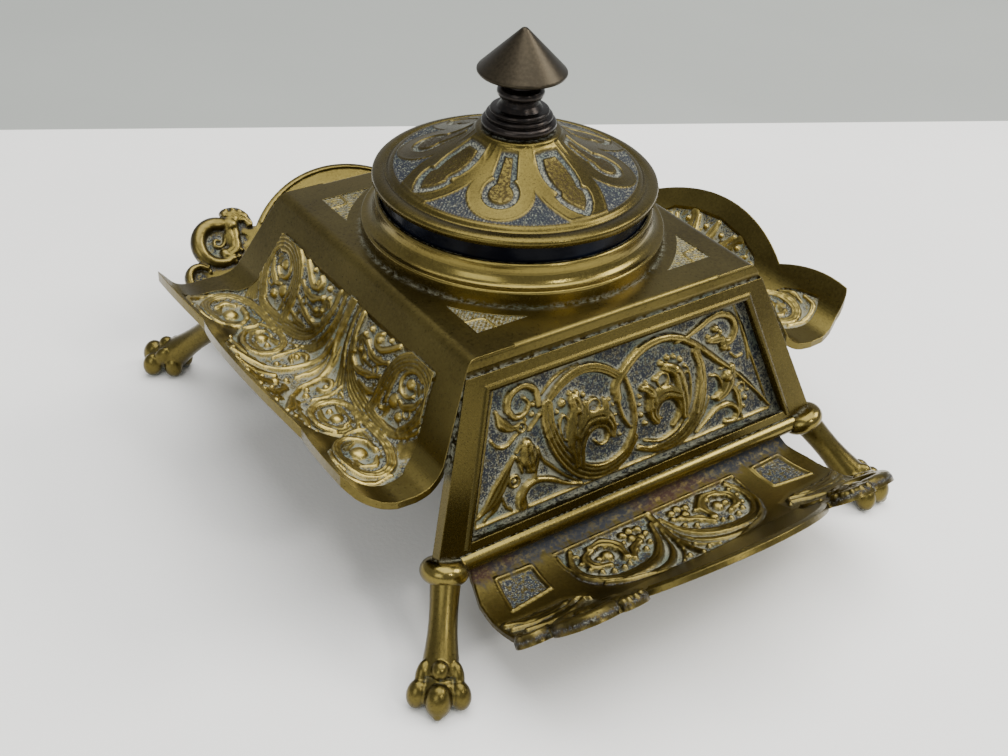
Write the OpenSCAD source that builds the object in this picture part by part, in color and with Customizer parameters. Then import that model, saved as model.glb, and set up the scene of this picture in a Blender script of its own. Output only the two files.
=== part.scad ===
// Desk inkstand of cast brass: a saddle with two lobed trough wings, two framed relief
// faces, four paw legs, two pen trays, and a drop-in glazed ink pot under a domed lid.
// +X runs along the front rail, +Y to the back, +Z up; the origin is on the desk, at the centre.

/* [Saddle] */
// Half width of the top plate, side to side
top_half_x = 42; // [40:0.5:44]
// Half depth of the top plate, front to back
top_half_y = 44.2; // [42:0.2:46]
// Height of the top plate above the desk
top_z = 64; // [62:0.5:66]
// Depth of the lip along the front and back edges of the top plate
lip_h = 4; // [3:0.5:5]
// Thickness of the wings and of the middle of the top plate
sheet_t = 1.8; // [1.4:0.1:2.4]
// Height of the trough floor of a wing
wing_floor_z = 39.7; // [39:0.1:41]
// Steepness of the inner slope of a wing, in degrees
wing_drop = 64; // [62:1:66]
// Steepness of the outer lip of a wing, in degrees
wing_rise = 52.5; // [50:0.5:55]
// Where the inner slope of a wing meets the floor line, from the centre
wing_inner_x = 53.85; // [53:0.05:55]
// Where the outer lip of a wing meets the floor line, from the centre
wing_outer_x = 68.8; // [68:0.1:70]
// Radius of the bend at the foot of the inner slope
wing_inner_r = 7; // [5:0.5:8]
// Radius of the bend at the foot of the outer lip
wing_outer_r = 11; // [9:0.5:12]
// Reach of the round middle lobe of a wing, from the centre
wing_reach = 78.1; // [77:0.1:79]
// Depth of the sunk field that carries the relief
field_sink = 0.7; // [0.4:0.1:1]

/* [Collar and pot] */
// Outer radius of the turned collar
collar_r = 38; // [37:0.5:39]
// Radius of the collar's lip
collar_lip_r = 34; // [33.5:0.1:34.5]
// Height of the collar above the top plate
collar_h = 9.3; // [8:0.1:10]
// Outer radius of the rim of the ink pot
pot_rim_r = 33.2; // [32:0.1:33.2]
// Height of the pot rim that stands above the collar
pot_rim_proud = 4.6; // [3:0.1:6]
// Height of the underside of the pot above the desk
pot_foot_z = 27; // [24:1:30]
// Wall thickness of the pot
pot_wall = 3; // [2.5:0.1:3.5]

/* [Lid] */
// Radius of the rim of the lid
lid_r = 35.2; // [34.5:0.1:36]
// Height of the dome of the lid above its rim
lid_rise = 13.8; // [12:0.1:15]
// Radius of the cone on the finial
cone_r = 10.8; // [9:0.1:12]
// Height of the cone on the finial
cone_h = 10.8; // [9:0.1:12]

/* [Faces] */
// Distance of the front rail from the centre
rail_y = 58.5; // [57.5:0.1:59.5]
// Height of the front rail above the desk
rail_z = 20.4; // [19.5:0.1:21.5]
// Radius of the front and back rails
rail_r = 2.3; // [2:0.1:2.6]
// Distance of a leg ring from the centre, side to side
ring_x = 55.65; // [55:0.05:56.5]
// How far a face frame stands in front of the edge of the top plate
frame_proud = 0.9; // [0.5:0.1:1.2]
// Thickness of a face frame
frame_t = 3.3; // [3:0.1:3.6]
// Thickness of a relief panel
panel_t = 1.8; // [1.4:0.1:2.2]

/* [Legs] */
// Distance of a paw from the centre, side to side
paw_x = 66.5; // [65:0.1:68]
// Distance of a paw from the centre, front to back
paw_y = 73.7; // [72:0.1:75]
// Radius of the leg under its ring
leg_r = 3.15; // [2.8:0.05:3.4]

/* [Trays] */
// Thickness of a tray
tray_t = 1.6; // [1.4:0.1:2]
// Half width of a tray at its widest
tray_half_x = 52.4; // [51.5:0.1:53]
// Height of the lowest line of the tray floor
tray_floor_z = 14.7; // [14:0.1:16]
// Radius of the hollow of a tray
tray_r = 29; // [28:0.5:30]
// Slope of the arched outer flange, in degrees
flange_slope = 46; // [44:1:47]

/* [Hidden] */
$fn = 96;

// Small shifts: a cut runs this far past a face, and a fitted pin has this much play
cut = 1;
play = 0.03;

// Slope of the front and back faces, and their length down to the rail
face_lean = atan((rail_y - top_half_y) / (top_z - rail_z));
face_len = norm([rail_y - top_half_y, top_z - rail_z]);
// The rail and the rings lie a little behind the plane of the face
rail_w = -0.7;
// Slope of a stile in the plane of the face
stile_lean = atan((ring_x - top_half_x) / face_len);

// Frame: front and back of its slab, its top edge, its bottom edge, and its slanted sides
frame_back_w = frame_proud - frame_t;
bead_proud = 0.4;
frame_top_v = -lip_h;
frame_bottom_v = -(face_len - 2.4);
stile_out_top = 42.4;
stile_out_spread = 0.35;
stile_in_top = 36.7;
stile_in_spread = 0.31;
opening_top_v = -7.2;
opening_bottom_v = -41.4;
bead_r = 1.15;
function stile_out(v) = stile_out_top - stile_out_spread * v;
function stile_in(v) = stile_in_top - stile_in_spread * v;

// Panel: it laps the back of the frame all round
panel_lap = 1.8;
panel_back_w = frame_back_w - panel_t;
panel_bottom_v = -42.2;
border_w = 0.9;
border_h = 0.6;
border_in = 1.6;
panel_spread = panel_lap - 1;

// Ring: a turned bulb, with a bore for the tenon of the leg
ring_mid_r = 2.9;
ring_bulb_r = 2.7;
ring_seat = 5.9;
tenon_r = 0.85;
tenon_up = 3.4;

// Screws under the top plate and behind the trays
screw_r = 1.2;
screw_head_r = 2.3;
screw_head_h = 1.6;
screw_bite = 1.8;
lug_x = 29;
lug_half = 4;
lug_drop = 1.8;
lug_screw_y = 38.8;
lip_inner_y = 36;
tray_screw_x = 30;
tray_screw_v = -38.6;
tray_screw_bite = 1.2;

// Heights in the pot and lid stack
collar_top_z = top_z + collar_h;
ledge_z = collar_top_z - 2;
pot_top_z = collar_top_z + pot_rim_proud;
well_r = 31.4;
pot_body_r = 30.8;
pot_foot_r = 25;
pot_bore_r = pot_body_r - pot_wall;
lid_seat_z = pot_top_z + lid_rise;
lid_seat_r = 10.2;
lid_t = 1.6;
cone_base_z = pot_top_z + 27.5;
stud_r = 2;
nut_af = 7;
nut_h = 2.6;

// ---------------------------------------------------------------- helpers

// Puts children on the front face: x along the rail, y up the slope, z out of the face
module on_front() {
    translate([0, -top_half_y, top_z]) rotate([90 - face_lean, 0, 0]) children();
}

// The back face and all that is on it is the front turned half round
module on_back() {
    rotate([0, 0, 180]) children();
}

// A straight-sided four-cornered outline, from half widths at two heights
module trapezoid(half_low, low, half_high, high) {
    polygon([[-half_low, low], [half_low, low], [half_high, high], [-half_high, high]]);
}

// An outline that is the same on both sides of the y axis, from the points of its right half
module both_sides(half) {
    polygon(concat(half, [for (i = [len(half) - 1 : -1 : 0]) if (half[i].x > 0) [-half[i].x, half[i].y]]));
}

// Points of an arc, with its ends
function arc(c, r, from, to, n = 14) =
    [for (i = [0 : n]) c + r * [cos(from + (to - from) * i / n), sin(from + (to - from) * i / n)]];

function reversed(list) = [for (i = [len(list) - 1 : -1 : 0]) list[i]];

// Lays the z axis of its children from one point to another
module aim(from, to) {
    d = to - from;
    translate(from) rotate([0, acos(d.z / norm(d)), atan2(d.y, d.x)]) children();
}

// ---------------------------------------------------------------- saddle

// Centres of the bends in the profile of a wing
inner_bend = [wing_inner_x + wing_inner_r * tan(wing_drop / 2), wing_floor_z + wing_inner_r];
outer_bend = [wing_outer_x - wing_outer_r * tan(wing_rise / 2), wing_floor_z + wing_outer_r];
shoulder_r = 3;
shoulder = [top_half_x - shoulder_r * tan(wing_drop / 2), top_z - shoulder_r];
wing_inland = 12;
lip_reach = 24;

// Profile of a wing, t below its upper face
function wing_line(t) = concat(
    [[top_half_x - wing_inland, top_z - t]],
    reversed(arc(shoulder, shoulder_r - t, 90 - wing_drop, 90, 8)),
    arc(inner_bend, wing_inner_r + t, 270 - wing_drop, 270),
    arc(outer_bend, wing_outer_r + t, 270, 270 + wing_rise),
    [outer_bend + (wing_outer_r + t) * [sin(wing_rise), -cos(wing_rise)]
        + lip_reach * [cos(wing_rise), sin(wing_rise)]]
);

// A band of the wing, between two depths below its upper face, as wide as the object
module wing_band(t0, t1) {
    half = 60;
    translate([0, half, 0]) rotate([90, 0, 0])
        linear_extrude(2 * half) polygon(concat(wing_line(t0), reversed(wing_line(t1))));
}

// Plan of a wing: a round middle lobe between two pointed leaves
lobe_r = 71;
lobe_half = 25.6;
notch_x = wing_reach - lobe_r + sqrt(lobe_r * lobe_r - lobe_half * lobe_half);
leaf_tip = [75.7, 47.6];
leaf_side = [[71.4, 49.7], [68, 51.2], [64.4, 52.2], [60, 52.4], [55.8, 51.7], [52, 50.6]];
leaf_bow = [75.6, 36.5];

// A smooth curve through three points, the middle one reached half way
function bow(a, b, c, n = 8) =
    [for (i = [0 : n]) let(t = i / n, k = 2 * b - (a + c) / 2)
        (1 - t) * (1 - t) * a + 2 * t * (1 - t) * k + t * t * c];

wing_half_plan = concat(
    [[wing_inner_x - 30, 0], [wing_inner_x - 30, top_half_y], [top_half_x, top_half_y]],
    reversed(leaf_side),
    bow(leaf_side[0], [74.2, 48.9], leaf_tip, 4),
    bow(leaf_tip, leaf_bow, [notch_x, lobe_half]),
    reversed(arc([wing_reach - lobe_r, 0], lobe_r, 0, asin(lobe_half / lobe_r), 10))
);

module wing_plan() {
    polygon(wing_half_plan);
    mirror([0, 1]) polygon(wing_half_plan);
}

// Distance from the centre of a point that lies s down the upper face of a wing,
// counted along the face from the edge of the top plate
slope_len = norm(inner_bend - wing_inner_r * [sin(wing_drop), cos(wing_drop)] - [top_half_x, top_z]);
inner_bend_end = slope_len + wing_inner_r * wing_drop * PI / 180;
floor_end = inner_bend_end + outer_bend.x - inner_bend.x;
outer_bend_end = floor_end + wing_outer_r * wing_rise * PI / 180;
function wing_x(s) =
    s < slope_len ? top_half_x + s * cos(wing_drop) :
    s < inner_bend_end ? inner_bend.x - wing_inner_r * sin((inner_bend_end - s) / wing_inner_r * 180 / PI) :
    s < floor_end ? inner_bend.x + s - inner_bend_end :
    s < outer_bend_end ? outer_bend.x + wing_outer_r * sin((s - floor_end) / wing_outer_r * 180 / PI) :
    outer_bend.x + wing_outer_r * sin(wing_rise) + (s - outer_bend_end) * cos(wing_rise);

// Half outline of the sunk field of a wing, as (along the face, half depth): a straight top,
// a spreading side, a round leaf end, a notch and half of the middle lobe
field_outline = concat(
    [[8, 0], [8, 36]],
    bow([8, 36], [19, 38.4], [29, 42.6], 4),
    bow([31, 44.6], [38, 45.4], [46, 42], 5),
    [[45, 36], [43, 31.5]],
    bow([36.5, 26.2], [38, 24.6], [46, 17], 4),
    [[48.6, 10], [50, 0]]
);

// Plan of an outline on a wing, given as (along the face, half depth)
function on_wing(outline) = [for (p = outline) [wing_x(p[0]), p[1]]];

// Bands left standing in the sunk field, each as its half width and its line of (along the
// face, half depth): the long branch, three scrolls, a leaf, and two leaves of the lobe
branch = [[9, 5.5], [15, 6], [20.4, 8.4], [24, 12.2], [25.8, 18], [26.6, 26], [25.4, 33]];
wing_bands = [
    [0.9, branch],
    [1.2, arc([16.5, 30.5], 7.6, 40, 315, 14)],
    [0.9, arc([34.9, 34.7], 6.6, -95, 215, 12)],
    [0.8, arc([33.6, 18.4], 5.5, 120, 420, 12)],
    [0.8, [[15, 20], [15.6, 16.5], [14.4, 12.5]]],
    [0.8, [[39.5, 3.6], [43, 5.6], [46, 6.9]]],
    [0.8, [[39.4, 8.4], [41, 11.6], [43, 13.8]]]
];
// Half of the stem between the scrolls of the two sides
stem = [[7, 0], [7, 1], [19.6, 0.7], [19.6, 0]];

// Outline of a band of half width w along a line
function side_of(line, w) = [for (i = [0 : len(line) - 1])
    let(a = line[max(i - 1, 0)], b = line[min(i + 1, len(line) - 1)], run = (b - a) / norm(b - a))
        line[i] + w * [-run.y, run.x]];
function band_outline(line, w) = concat(side_of(line, w), reversed(side_of(line, -w)));

module half_field() {
    difference() {
        polygon(on_wing(field_outline));
        polygon(on_wing(stem));
        for (band = wing_bands) polygon(on_wing(band_outline(band[1], band[0])));
    }
}

module wing_field_plan() {
    half_field();
    mirror([0, 1]) half_field();
}

module wing() {
    difference() {
        intersection() {
            wing_band(0, sheet_t);
            linear_extrude(2 * top_z) wing_plan();
        }
        intersection() {
            wing_band(-cut, field_sink);
            linear_extrude(2 * top_z) wing_field_plan();
        }
    }
}

// The top plate is a slab hollowed from below: its front and back edges lie in the faces,
// and its two ends follow the inner slopes of the wings
module top_slab() {
    spread = lip_h * tan(face_lean);
    end_run = lip_h / tan(wing_drop);
    half = top_half_x + end_run + cut;
    hollow_x = 40.4;
    edge_r = 1.2;
    edge_at = [top_half_y - edge_r * tan(45 - face_lean / 2), top_z - edge_r];
    difference() {
        intersection() {
            translate([-half, 0, 0]) rotate([90, 0, 90]) linear_extrude(2 * half) both_sides(concat(
                [[0, top_z]],
                reversed(arc(edge_at, edge_r, face_lean, 90, 5)),
                [[top_half_y + spread, top_z - lip_h], [0, top_z - lip_h]]
            ));
            translate([0, half, 0]) rotate([90, 0, 0]) linear_extrude(2 * half) both_sides(concat(
                [[0, top_z]],
                reversed(arc(shoulder, shoulder_r, 90 - wing_drop, 90, 8)),
                [[top_half_x + end_run, top_z - lip_h], [0, top_z - lip_h]]
            ));
        }
        translate([-hollow_x, -lip_inner_y, top_z - lip_h - cut])
            cube([2 * hollow_x, 2 * lip_inner_y, lip_h - sheet_t + cut]);
    }
}

// Outline that the frame fills, cut out of the saddle so that the frame seats in it
module frame_seat() {
    clear = 20;
    on_front() translate([0, 0, frame_back_w]) linear_extrude(clear)
        trapezoid(stile_out(frame_bottom_v), frame_bottom_v, stile_out(frame_top_v), frame_top_v);
}

// Sunk spandrels in the corners of the top plate, each with its long side round the collar
spandrel_sink = 0.35;
spandrel_corner = [34.5, 36];
spandrel_leg = 16;
spandrel_r = 41.6;
module spandrels() {
    translate([0, 0, top_z - spandrel_sink]) linear_extrude(spandrel_sink + cut) difference() {
        for (sx = [-1, 1], sy = [-1, 1]) translate([
            sx * (spandrel_corner.x - spandrel_leg / 2), sy * (spandrel_corner.y - spandrel_leg / 2)
        ]) square(spandrel_leg, center = true);
        circle(spandrel_r);
    }
}

module saddle() {
    color("darkgoldenrod") difference() {
        union() {
            top_slab();
            wing();
            mirror([1, 0, 0]) wing();
        }
        translate([0, 0, top_z - 2 * lip_h]) cylinder(h = 3 * lip_h, r = well_r);
        frame_seat();
        on_back() frame_seat();
        spandrels();
        saddle_screw_places() translate([0, 0, -cut])
            cylinder(h = screw_bite + 0.2 + cut, r = screw_r + play, $fn = 32);
    }
}

// The four places where screws rise from the frame lugs into the lip of the top plate
module saddle_screw_places() {
    for (s = [-1, 1], turn = [0, 180])
        rotate([0, 0, turn]) translate([s * lug_x, -lug_screw_y, top_z - lip_h]) children();
}

module saddle_screws() {
    color("peru") saddle_screw_places() {
        translate([0, 0, -lug_drop - screw_head_h]) cylinder(h = screw_head_h, r = screw_head_r, $fn = 32);
        translate([0, 0, -lug_drop]) cylinder(h = lug_drop + screw_bite, r = screw_r, $fn = 32);
    }
}

// ---------------------------------------------------------------- collar

// A turned ring: an upright foot, a hollow moulding and a rounded lip
module well_collar() {
    foot_h = 4;
    lip_r = 0.7;
    hollow_r = collar_h - foot_h - 2 * lip_r + 0.6;
    color("gold") rotate_extrude() translate([0, top_z]) polygon(concat(
        [[well_r, 0], [collar_r, 0]],
        arc([collar_r - 0.5, foot_h - 0.5], 0.5, 0, 90, 4),
        [[collar_r - 1, foot_h]],
        [for (i = [1 : 10]) let(a = 90 * i / 10)
            [collar_lip_r + 0.3 + (collar_r - 1.3 - collar_lip_r) * (1 - sin(a)),
                foot_h + hollow_r * (1 - cos(a))]],
        arc([collar_lip_r - 0.1, collar_h - lip_r], lip_r, 0, 90, 5),
        [[pot_rim_r + 0.3, collar_h], [pot_rim_r + 0.3, ledge_z - top_z], [well_r, ledge_z - top_z]]
    ));
}

// ---------------------------------------------------------------- faces

// Moulding round the top and sides of the window: a twelve-sided bead, mitred at the corners
bead_in = 0.25;
module frame_bead() {
    reach = 4;
    low = frame_bottom_v + 1;
    top = opening_top_v - bead_in;
    mitre = (90 - atan(stile_in_spread)) / 2;
    out = reach * [tan(mitre), 1];
    corner = [stile_in(top) - bead_in, top];
    foot = [stile_in(low) - bead_in, low];
    intersection() {
        translate([-2 * corner.x, top, 0]) rotate([0, 90, 0]) rotate(15)
            cylinder(h = 4 * corner.x, r = bead_r, $fn = 12);
        translate([0, 0, -reach]) linear_extrude(2 * reach) polygon([
            [-corner.x - out.x, top + out.y], [corner.x + out.x, top + out.y],
            [corner.x - out.x, top - out.y], [-corner.x + out.x, top - out.y]
        ]);
    }
    for (s = [-1, 1]) intersection() {
        translate([s * foot.x, foot.y, 0]) rotate([0, 0, s * atan(stile_in_spread)])
            rotate([-90, 0, 0]) rotate(15) translate([0, 0, -reach])
                cylinder(h = 2 * norm(corner - foot), r = bead_r, $fn = 12);
        translate([0, 0, -reach]) linear_extrude(2 * reach) polygon([
            [s * (foot.x - reach), low], [s * (foot.x + reach), low],
            [s * (corner.x + out.x), top + out.y], [s * (corner.x - out.x), top - out.y]
        ]);
    }
}

// Slab of the frame: its window, and the holes that take the tenons of the legs
module frame_slab() {
    difference() {
        translate([0, 0, frame_back_w]) linear_extrude(frame_t - bead_proud) trapezoid(
            stile_out(frame_bottom_v), frame_bottom_v, stile_out(frame_top_v), frame_top_v);
        translate([0, 0, frame_back_w - cut]) linear_extrude(frame_t + 2 * cut) trapezoid(
            stile_in(opening_bottom_v), opening_bottom_v, stile_in(opening_top_v), opening_top_v);
        for (s = [-1, 1]) ring_place(s) {
            cylinder(h = ring_bulb_r + tenon_up + play, r = tenon_r + play, $fn = 32);
            translate([-ring_seat, -ring_seat, -ring_seat])
                cube([2 * ring_seat, 2 * ring_seat, ring_seat + ring_bulb_r]);
        }
    }
}

// Lugs behind the top of the frame, drilled for the screws that hold the saddle
module frame_lugs() {
    difference() {
        for (s = [-1, 1])
            translate([s * lug_x - lug_half, -top_half_y + 0.6, top_z - lip_h - lug_drop])
                cube([2 * lug_half, 2 * lug_half, lug_drop]);
        for (s = [-1, 1]) translate([s * lug_x, -lug_screw_y, top_z - lip_h - lug_drop - cut])
            cylinder(h = lug_drop + 2 * cut, r = screw_r + 2 * play, $fn = 32);
    }
}

module frame() {
    union() {
        union() {
            on_front() frame_slab();
            frame_lugs();
        }
        on_front() translate([0, 0, frame_proud - bead_r]) frame_bead();
    }
}

module front_frame() {
    color("darkgoldenrod") frame();
}

module back_frame() {
    color("darkgoldenrod") on_back() frame();
}

// A flat band along an arc
module arc_band(c, r, from, to, half) {
    polygon(concat(arc(c, r + half, from, to, 12), reversed(arc(c, r - half, from, to, 12))));
}

// Main lines of the running scroll, as arcs: centre, radius, first and last angle, half width
scroll_h = 0.9;
scroll_arcs = [
    [[11.5, -27.5], 16.2, 38, 152, 1.2],
    [[12.5, -27], 11.4, -135, 42, 1.9],
    [[12.4, -30.3], 3.7, -70, 190, 0.9],
    [[-14.8, -26.3], 16.9, -38, 32, 1],
    [[-11, -26.5], 11.4, 138, 318, 1.9],
    [[-11.5, -27], 15.2, 48, 140, 1.2],
    [[-10.2, -30.4], 4, -20, 205, 0.9],
    [[-29.5, -14.4], 3.8, -30, 250, 0.9],
    [[32.2, -14.6], 3.8, -100, 130, 0.9],
    [[-27.5, -38.6], 4.6, 0, 180, 0.9],
    [[31.2, -37.8], 4, -10, 190, 0.9]
];
scroll_tail = [[24.2, -17.2], [44.6, -38.2]];
module scroll_plan() {
    for (a = scroll_arcs) arc_band(a[0], a[1], a[2], a[3], a[4]);
    polygon([scroll_tail[0] - [0.8, 0.8], scroll_tail[1] - [0.3, 0.3], scroll_tail[1] + [0.3, 0.3],
        scroll_tail[0] + [0.8, 0.8]]);
}

// The relief panel: a plate with a thin raised border, and the running scroll in relief
module panel() {
    top_v = opening_top_v + panel_lap;
    border_low = panel_bottom_v + 2.2;
    border_top = opening_top_v - border_in;
    on_front() difference() {
        union() {
            translate([0, 0, panel_back_w]) linear_extrude(panel_t) trapezoid(
                stile_in(panel_bottom_v) + panel_spread, panel_bottom_v,
                stile_in(top_v) + panel_spread, top_v);
            translate([0, 0, frame_back_w]) linear_extrude(border_h) difference() {
                trapezoid(stile_in(border_low) - border_in, border_low,
                    stile_in(border_top) - border_in, border_top);
                trapezoid(stile_in(border_low) - border_in - border_w, border_low + border_w,
                    stile_in(border_top) - border_in - border_w, border_top - border_w);
            }
            translate([0, 0, frame_back_w]) linear_extrude(scroll_h) scroll_plan();
        }
        for (s = [-1, 1]) translate([s * tray_screw_x, tray_screw_v, panel_back_w - cut])
            cylinder(h = cut + tray_screw_bite, r = screw_r + play, $fn = 32);
    }
}

// The two places behind a panel where its tray is screwed on
module tray_screw_places() {
    on_front() for (s = [-1, 1]) translate([s * tray_screw_x, tray_screw_v, panel_back_w]) children();
}

module front_panel() {
    color("slategray") panel();
}

module back_panel() {
    color("slategray") on_back() panel();
}

// Puts children at the ring of one leg, z along the stile, in the frame of the face
module ring_place(side) {
    translate([side * ring_x, -face_len, rail_w]) rotate([0, 0, side * stile_lean])
        rotate([-90, 0, 0]) children();
}

module ring_bulb() {
    rotate_extrude() intersection() {
        union() {
            translate([ring_mid_r, 0]) circle(ring_bulb_r);
            translate([0, -ring_bulb_r]) square([ring_mid_r, 2 * ring_bulb_r]);
        }
        translate([0, -2 * ring_bulb_r]) square([4 * ring_bulb_r, 4 * ring_bulb_r]);
    }
}

rail_half = ring_x - 4;
module rail_rod(r) {
    on_front() translate([-rail_half, -face_len, rail_w]) rotate([0, 90, 0])
        cylinder(h = 2 * rail_half, r = r);
}

module front_rail() {
    color("goldenrod") rail_rod(rail_r);
}

module back_rail() {
    color("goldenrod") on_back() rail_rod(rail_r);
}

module ring(side) {
    color("goldenrod") difference() {
        on_front() ring_place(side) difference() {
            ring_bulb();
            translate([0, 0, -2 * ring_bulb_r]) cylinder(h = 4 * ring_bulb_r, r = tenon_r + play, $fn = 32);
        }
        rail_rod(rail_r + play);
    }
}

module front_left_ring() { ring(-1); }
module front_right_ring() { ring(1); }
module back_left_ring() { on_back() ring(1); }
module back_right_ring() { on_back() ring(-1); }

// ---------------------------------------------------------------- legs

ring_at = [
    ring_x,
    -(rail_y + rail_w * cos(face_lean)),
    rail_z + rail_w * sin(face_lean)
];
paw_at = [paw_x, -paw_y, 3.6];
leg_run = norm(paw_at - ring_at);
paw_turn = atan2(-(paw_y - rail_y), paw_x - ring_x);

// Turned shank from the ring to the ankle, in at the middle and out at both ends
module shank() {
    aim(ring_at, paw_at) rotate_extrude() polygon(concat(
        [[0, 1]],
        [for (i = [0 : 10]) let(t = i / 10)
            [leg_r - 0.35 * sin(150 * t) + 1.9 * pow(t, 4), 1 + t * (leg_run - 5)]],
        [[0, leg_run - 4]]
    ));
}

// One toe along +X: a heel of the toe, a knuckle, a tall pad on the desk and a small claw
knuckle_z = 4.3;
module toe(turn, reach, size) {
    rotate([0, 0, turn]) {
        translate([reach * 0.2, 0, knuckle_z]) sphere(size * 0.95, $fn = 32);
        translate([reach * 0.6, 0, knuckle_z * 0.86]) sphere(size * 0.8, $fn = 32);
        translate([reach, 0, size * 1.25]) sphere(size * 0.9, $fn = 32);
        translate([reach, 0, size * 0.9]) sphere(size, $fn = 32);
        translate([reach + size * 0.8, 0, size * 0.5]) sphere(size * 0.4, $fn = 32);
    }
}

// The paw: an ankle, a ball, three toes in front and two small ones behind
module paw() {
    side_turn = 52;
    side_back = 1.2;
    translate([paw_at.x, paw_at.y, 0]) rotate([0, 0, paw_turn]) {
        translate([-2.2, 0, paw_at.z + 1]) sphere(4.2, $fn = 48);
        translate([0.2, 0, paw_at.z - 0.4]) sphere(3.6, $fn = 48);
        toe(0, 5.4, 2.9);
        for (s = [-1, 1]) {
            translate([-side_back, 0, 0]) toe(s * side_turn, 6, 2.5);
            translate([-3 * side_back, s * 3.2, 1.9]) sphere(2.2, $fn = 32);
        }
    }
}

// Front right leg: paw, shank, and the tenon that passes through the ring into the stile
module leg() {
    foot_cut = 10;
    color("goldenrod") {
        difference() {
            union() {
                shank();
                paw();
            }
            on_front() ring_place(1) ring_bulb();
            translate([0, -2 * paw_y, -foot_cut]) cube([2 * paw_x, 2 * paw_y, foot_cut]);
        }
        on_front() ring_place(1) translate([0, 0, -ring_bulb_r - 0.6])
            cylinder(h = 2 * ring_bulb_r + 0.6 + tenon_up, r = tenon_r, $fn = 32);
    }
}

module front_right_leg() { leg(); }
module front_left_leg() { mirror([1, 0, 0]) leg(); }
module back_left_leg() { on_back() leg(); }
module back_right_leg() { on_back() mirror([1, 0, 0]) leg(); }

// ---------------------------------------------------------------- trays

// Profile of the front tray as (distance to the front, height): a flange behind the panel,
// a slope down to the bend, the hollow, and the straight outer flange
function on_profile(v, w) = [
    top_half_y - v * sin(face_lean) + w * cos(face_lean),
    top_z + v * cos(face_lean) + w * sin(face_lean)
];
hollow_at = [67.5, tray_floor_z + tray_r];
bend_y = 60.1;
bend_angle = 270 - asin((hollow_at.x - bend_y) / tray_r);
flange_angle = 270 + 33;
flange_foot = hollow_at + tray_r * [cos(flange_angle), sin(flange_angle)];
tuck_top_v = -35.5;
knee_turn = 0.32;
tuck_knee_v = -45.2;
flange_out = [sin(flange_slope), -cos(flange_slope)];

// Line of the tray, t below its upper face, without the outer flange
function tray_line(t) = concat(
    [on_profile(tuck_top_v, panel_back_w - t), on_profile(tuck_knee_v - knee_turn * t, panel_back_w - t)],
    arc(hollow_at, tray_r + t, bend_angle - 1.5 * t, flange_angle, 16),
    [flange_foot + flange_out * t]
);

// Half plan of the tray, up to the foot of its outer flange, as (half width, distance to the front)
tray_side = [
    [0, 40], [tray_half_x - 4.9, 40], [tray_half_x - 4.2, 56], [tray_half_x - 3.1, bend_y],
    [tray_half_x - 1, 66], [tray_half_x - 0.2, 72], [tray_half_x, 78], [tray_half_x - 0.5, 84], [0, 84]
];

module tray_plan() {
    mirror([0, 1]) both_sides(tray_side);
}

// The outer flange, flat: a middle arch, a volute with its leaf hook on each side,
// and a small lobe at each end
arch_r = 36.1;
arch_c = -10.9;
arch_half = 29.3;
module flange_plan() {
    intersection() {
        translate([0, arch_c]) circle(arch_r);
        translate([-arch_half, -2]) square([2 * arch_half, 40]);
    }
    for (s = [-1, 1]) {
        translate([s * 41, 9.6]) circle(8.3);
        translate([s * 33.6, 14.6]) circle(4.9);
        translate([s * 49.9, 1]) circle(4.6);
    }
    polygon([[-51.6, -0.2], [51.6, -0.2], [49, 5], [44, 10], [33, 12], [-33, 12], [-44, 10], [-49, 5]]);
}

// Raised bands of the volutes
module volute_bands() {
    for (s = [-1, 1]) {
        translate([s * 41, 9.6]) difference() {
            circle(8.3);
            circle(6.3);
        }
        translate([s * 33.6, 14.6]) circle(3.6);
        translate([s * 41, 9.6]) circle(2.6);
    }
}

// Stands children in the plane of the outer flange of the front tray
module on_flange() {
    translate([0, -flange_foot.x, flange_foot.y]) rotate([flange_slope, 0, 180]) children();
}

module tray_body() {
    half = 60;
    translate([-half, 0, 0]) rotate([90, 0, 90]) linear_extrude(2 * half) mirror([1, 0])
        polygon(concat(tray_line(0), reversed(tray_line(tray_t))));
}

// Distance to the front of a point of the hollow that lies s in front of the knee
bend_s = 7.1;
function tray_y(s) = hollow_at.x + tray_r * cos(bend_angle + (s - bend_s) / tray_r * 180 / PI);

// The sunk fields of the tray floor: a half oval in the middle and a plaque at each end
oval_half = 27.7;
oval_top_s = 10;
oval_mid_s = 14;
plaque = [[35, 10], [44, 9.5], [46, 18.5], [35.3, 17]];
module tray_field_plan() {
    mirror([0, 1]) {
        both_sides(concat(
            [[0, tray_y(oval_top_s)]],
            [for (i = [0 : 10]) let(a = 9 * i)
                [oval_half * cos(a), tray_y(i == 0 ? oval_top_s : oval_mid_s + 17 * sin(a))]],
            []
        ));
        for (s = [-1, 1]) polygon([for (p = plaque) [s * p.x, tray_y(p.y)]]);
    }
}

module tray() {
    relief = 0.8;
    sink = 0.5;
    difference() {
        intersection() {
            tray_body();
            linear_extrude(top_z) tray_plan();
        }
        intersection() {
            tray_sink_band(sink);
            linear_extrude(top_z) tray_field_plan();
        }
        tray_screw_places() translate([0, 0, -tray_t - cut])
            cylinder(h = tray_t + 2 * cut, r = screw_r + 2 * play, $fn = 32);
    }
    on_flange() {
        translate([0, 0, -tray_t]) linear_extrude(tray_t) flange_plan();
        linear_extrude(relief) volute_bands();
    }
}

// A thin band over the hollow of the tray, to the depth of the sunk fields
module tray_sink_band(sink) {
    half = 60;
    translate([-half, 0, 0]) rotate([90, 0, 90]) linear_extrude(2 * half) mirror([1, 0])
        polygon(concat(arc(hollow_at, tray_r + sink, bend_angle, flange_angle),
            reversed(arc(hollow_at, tray_r - cut, bend_angle, flange_angle))));
}

module front_tray() {
    color("darkgoldenrod") tray();
}

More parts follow.
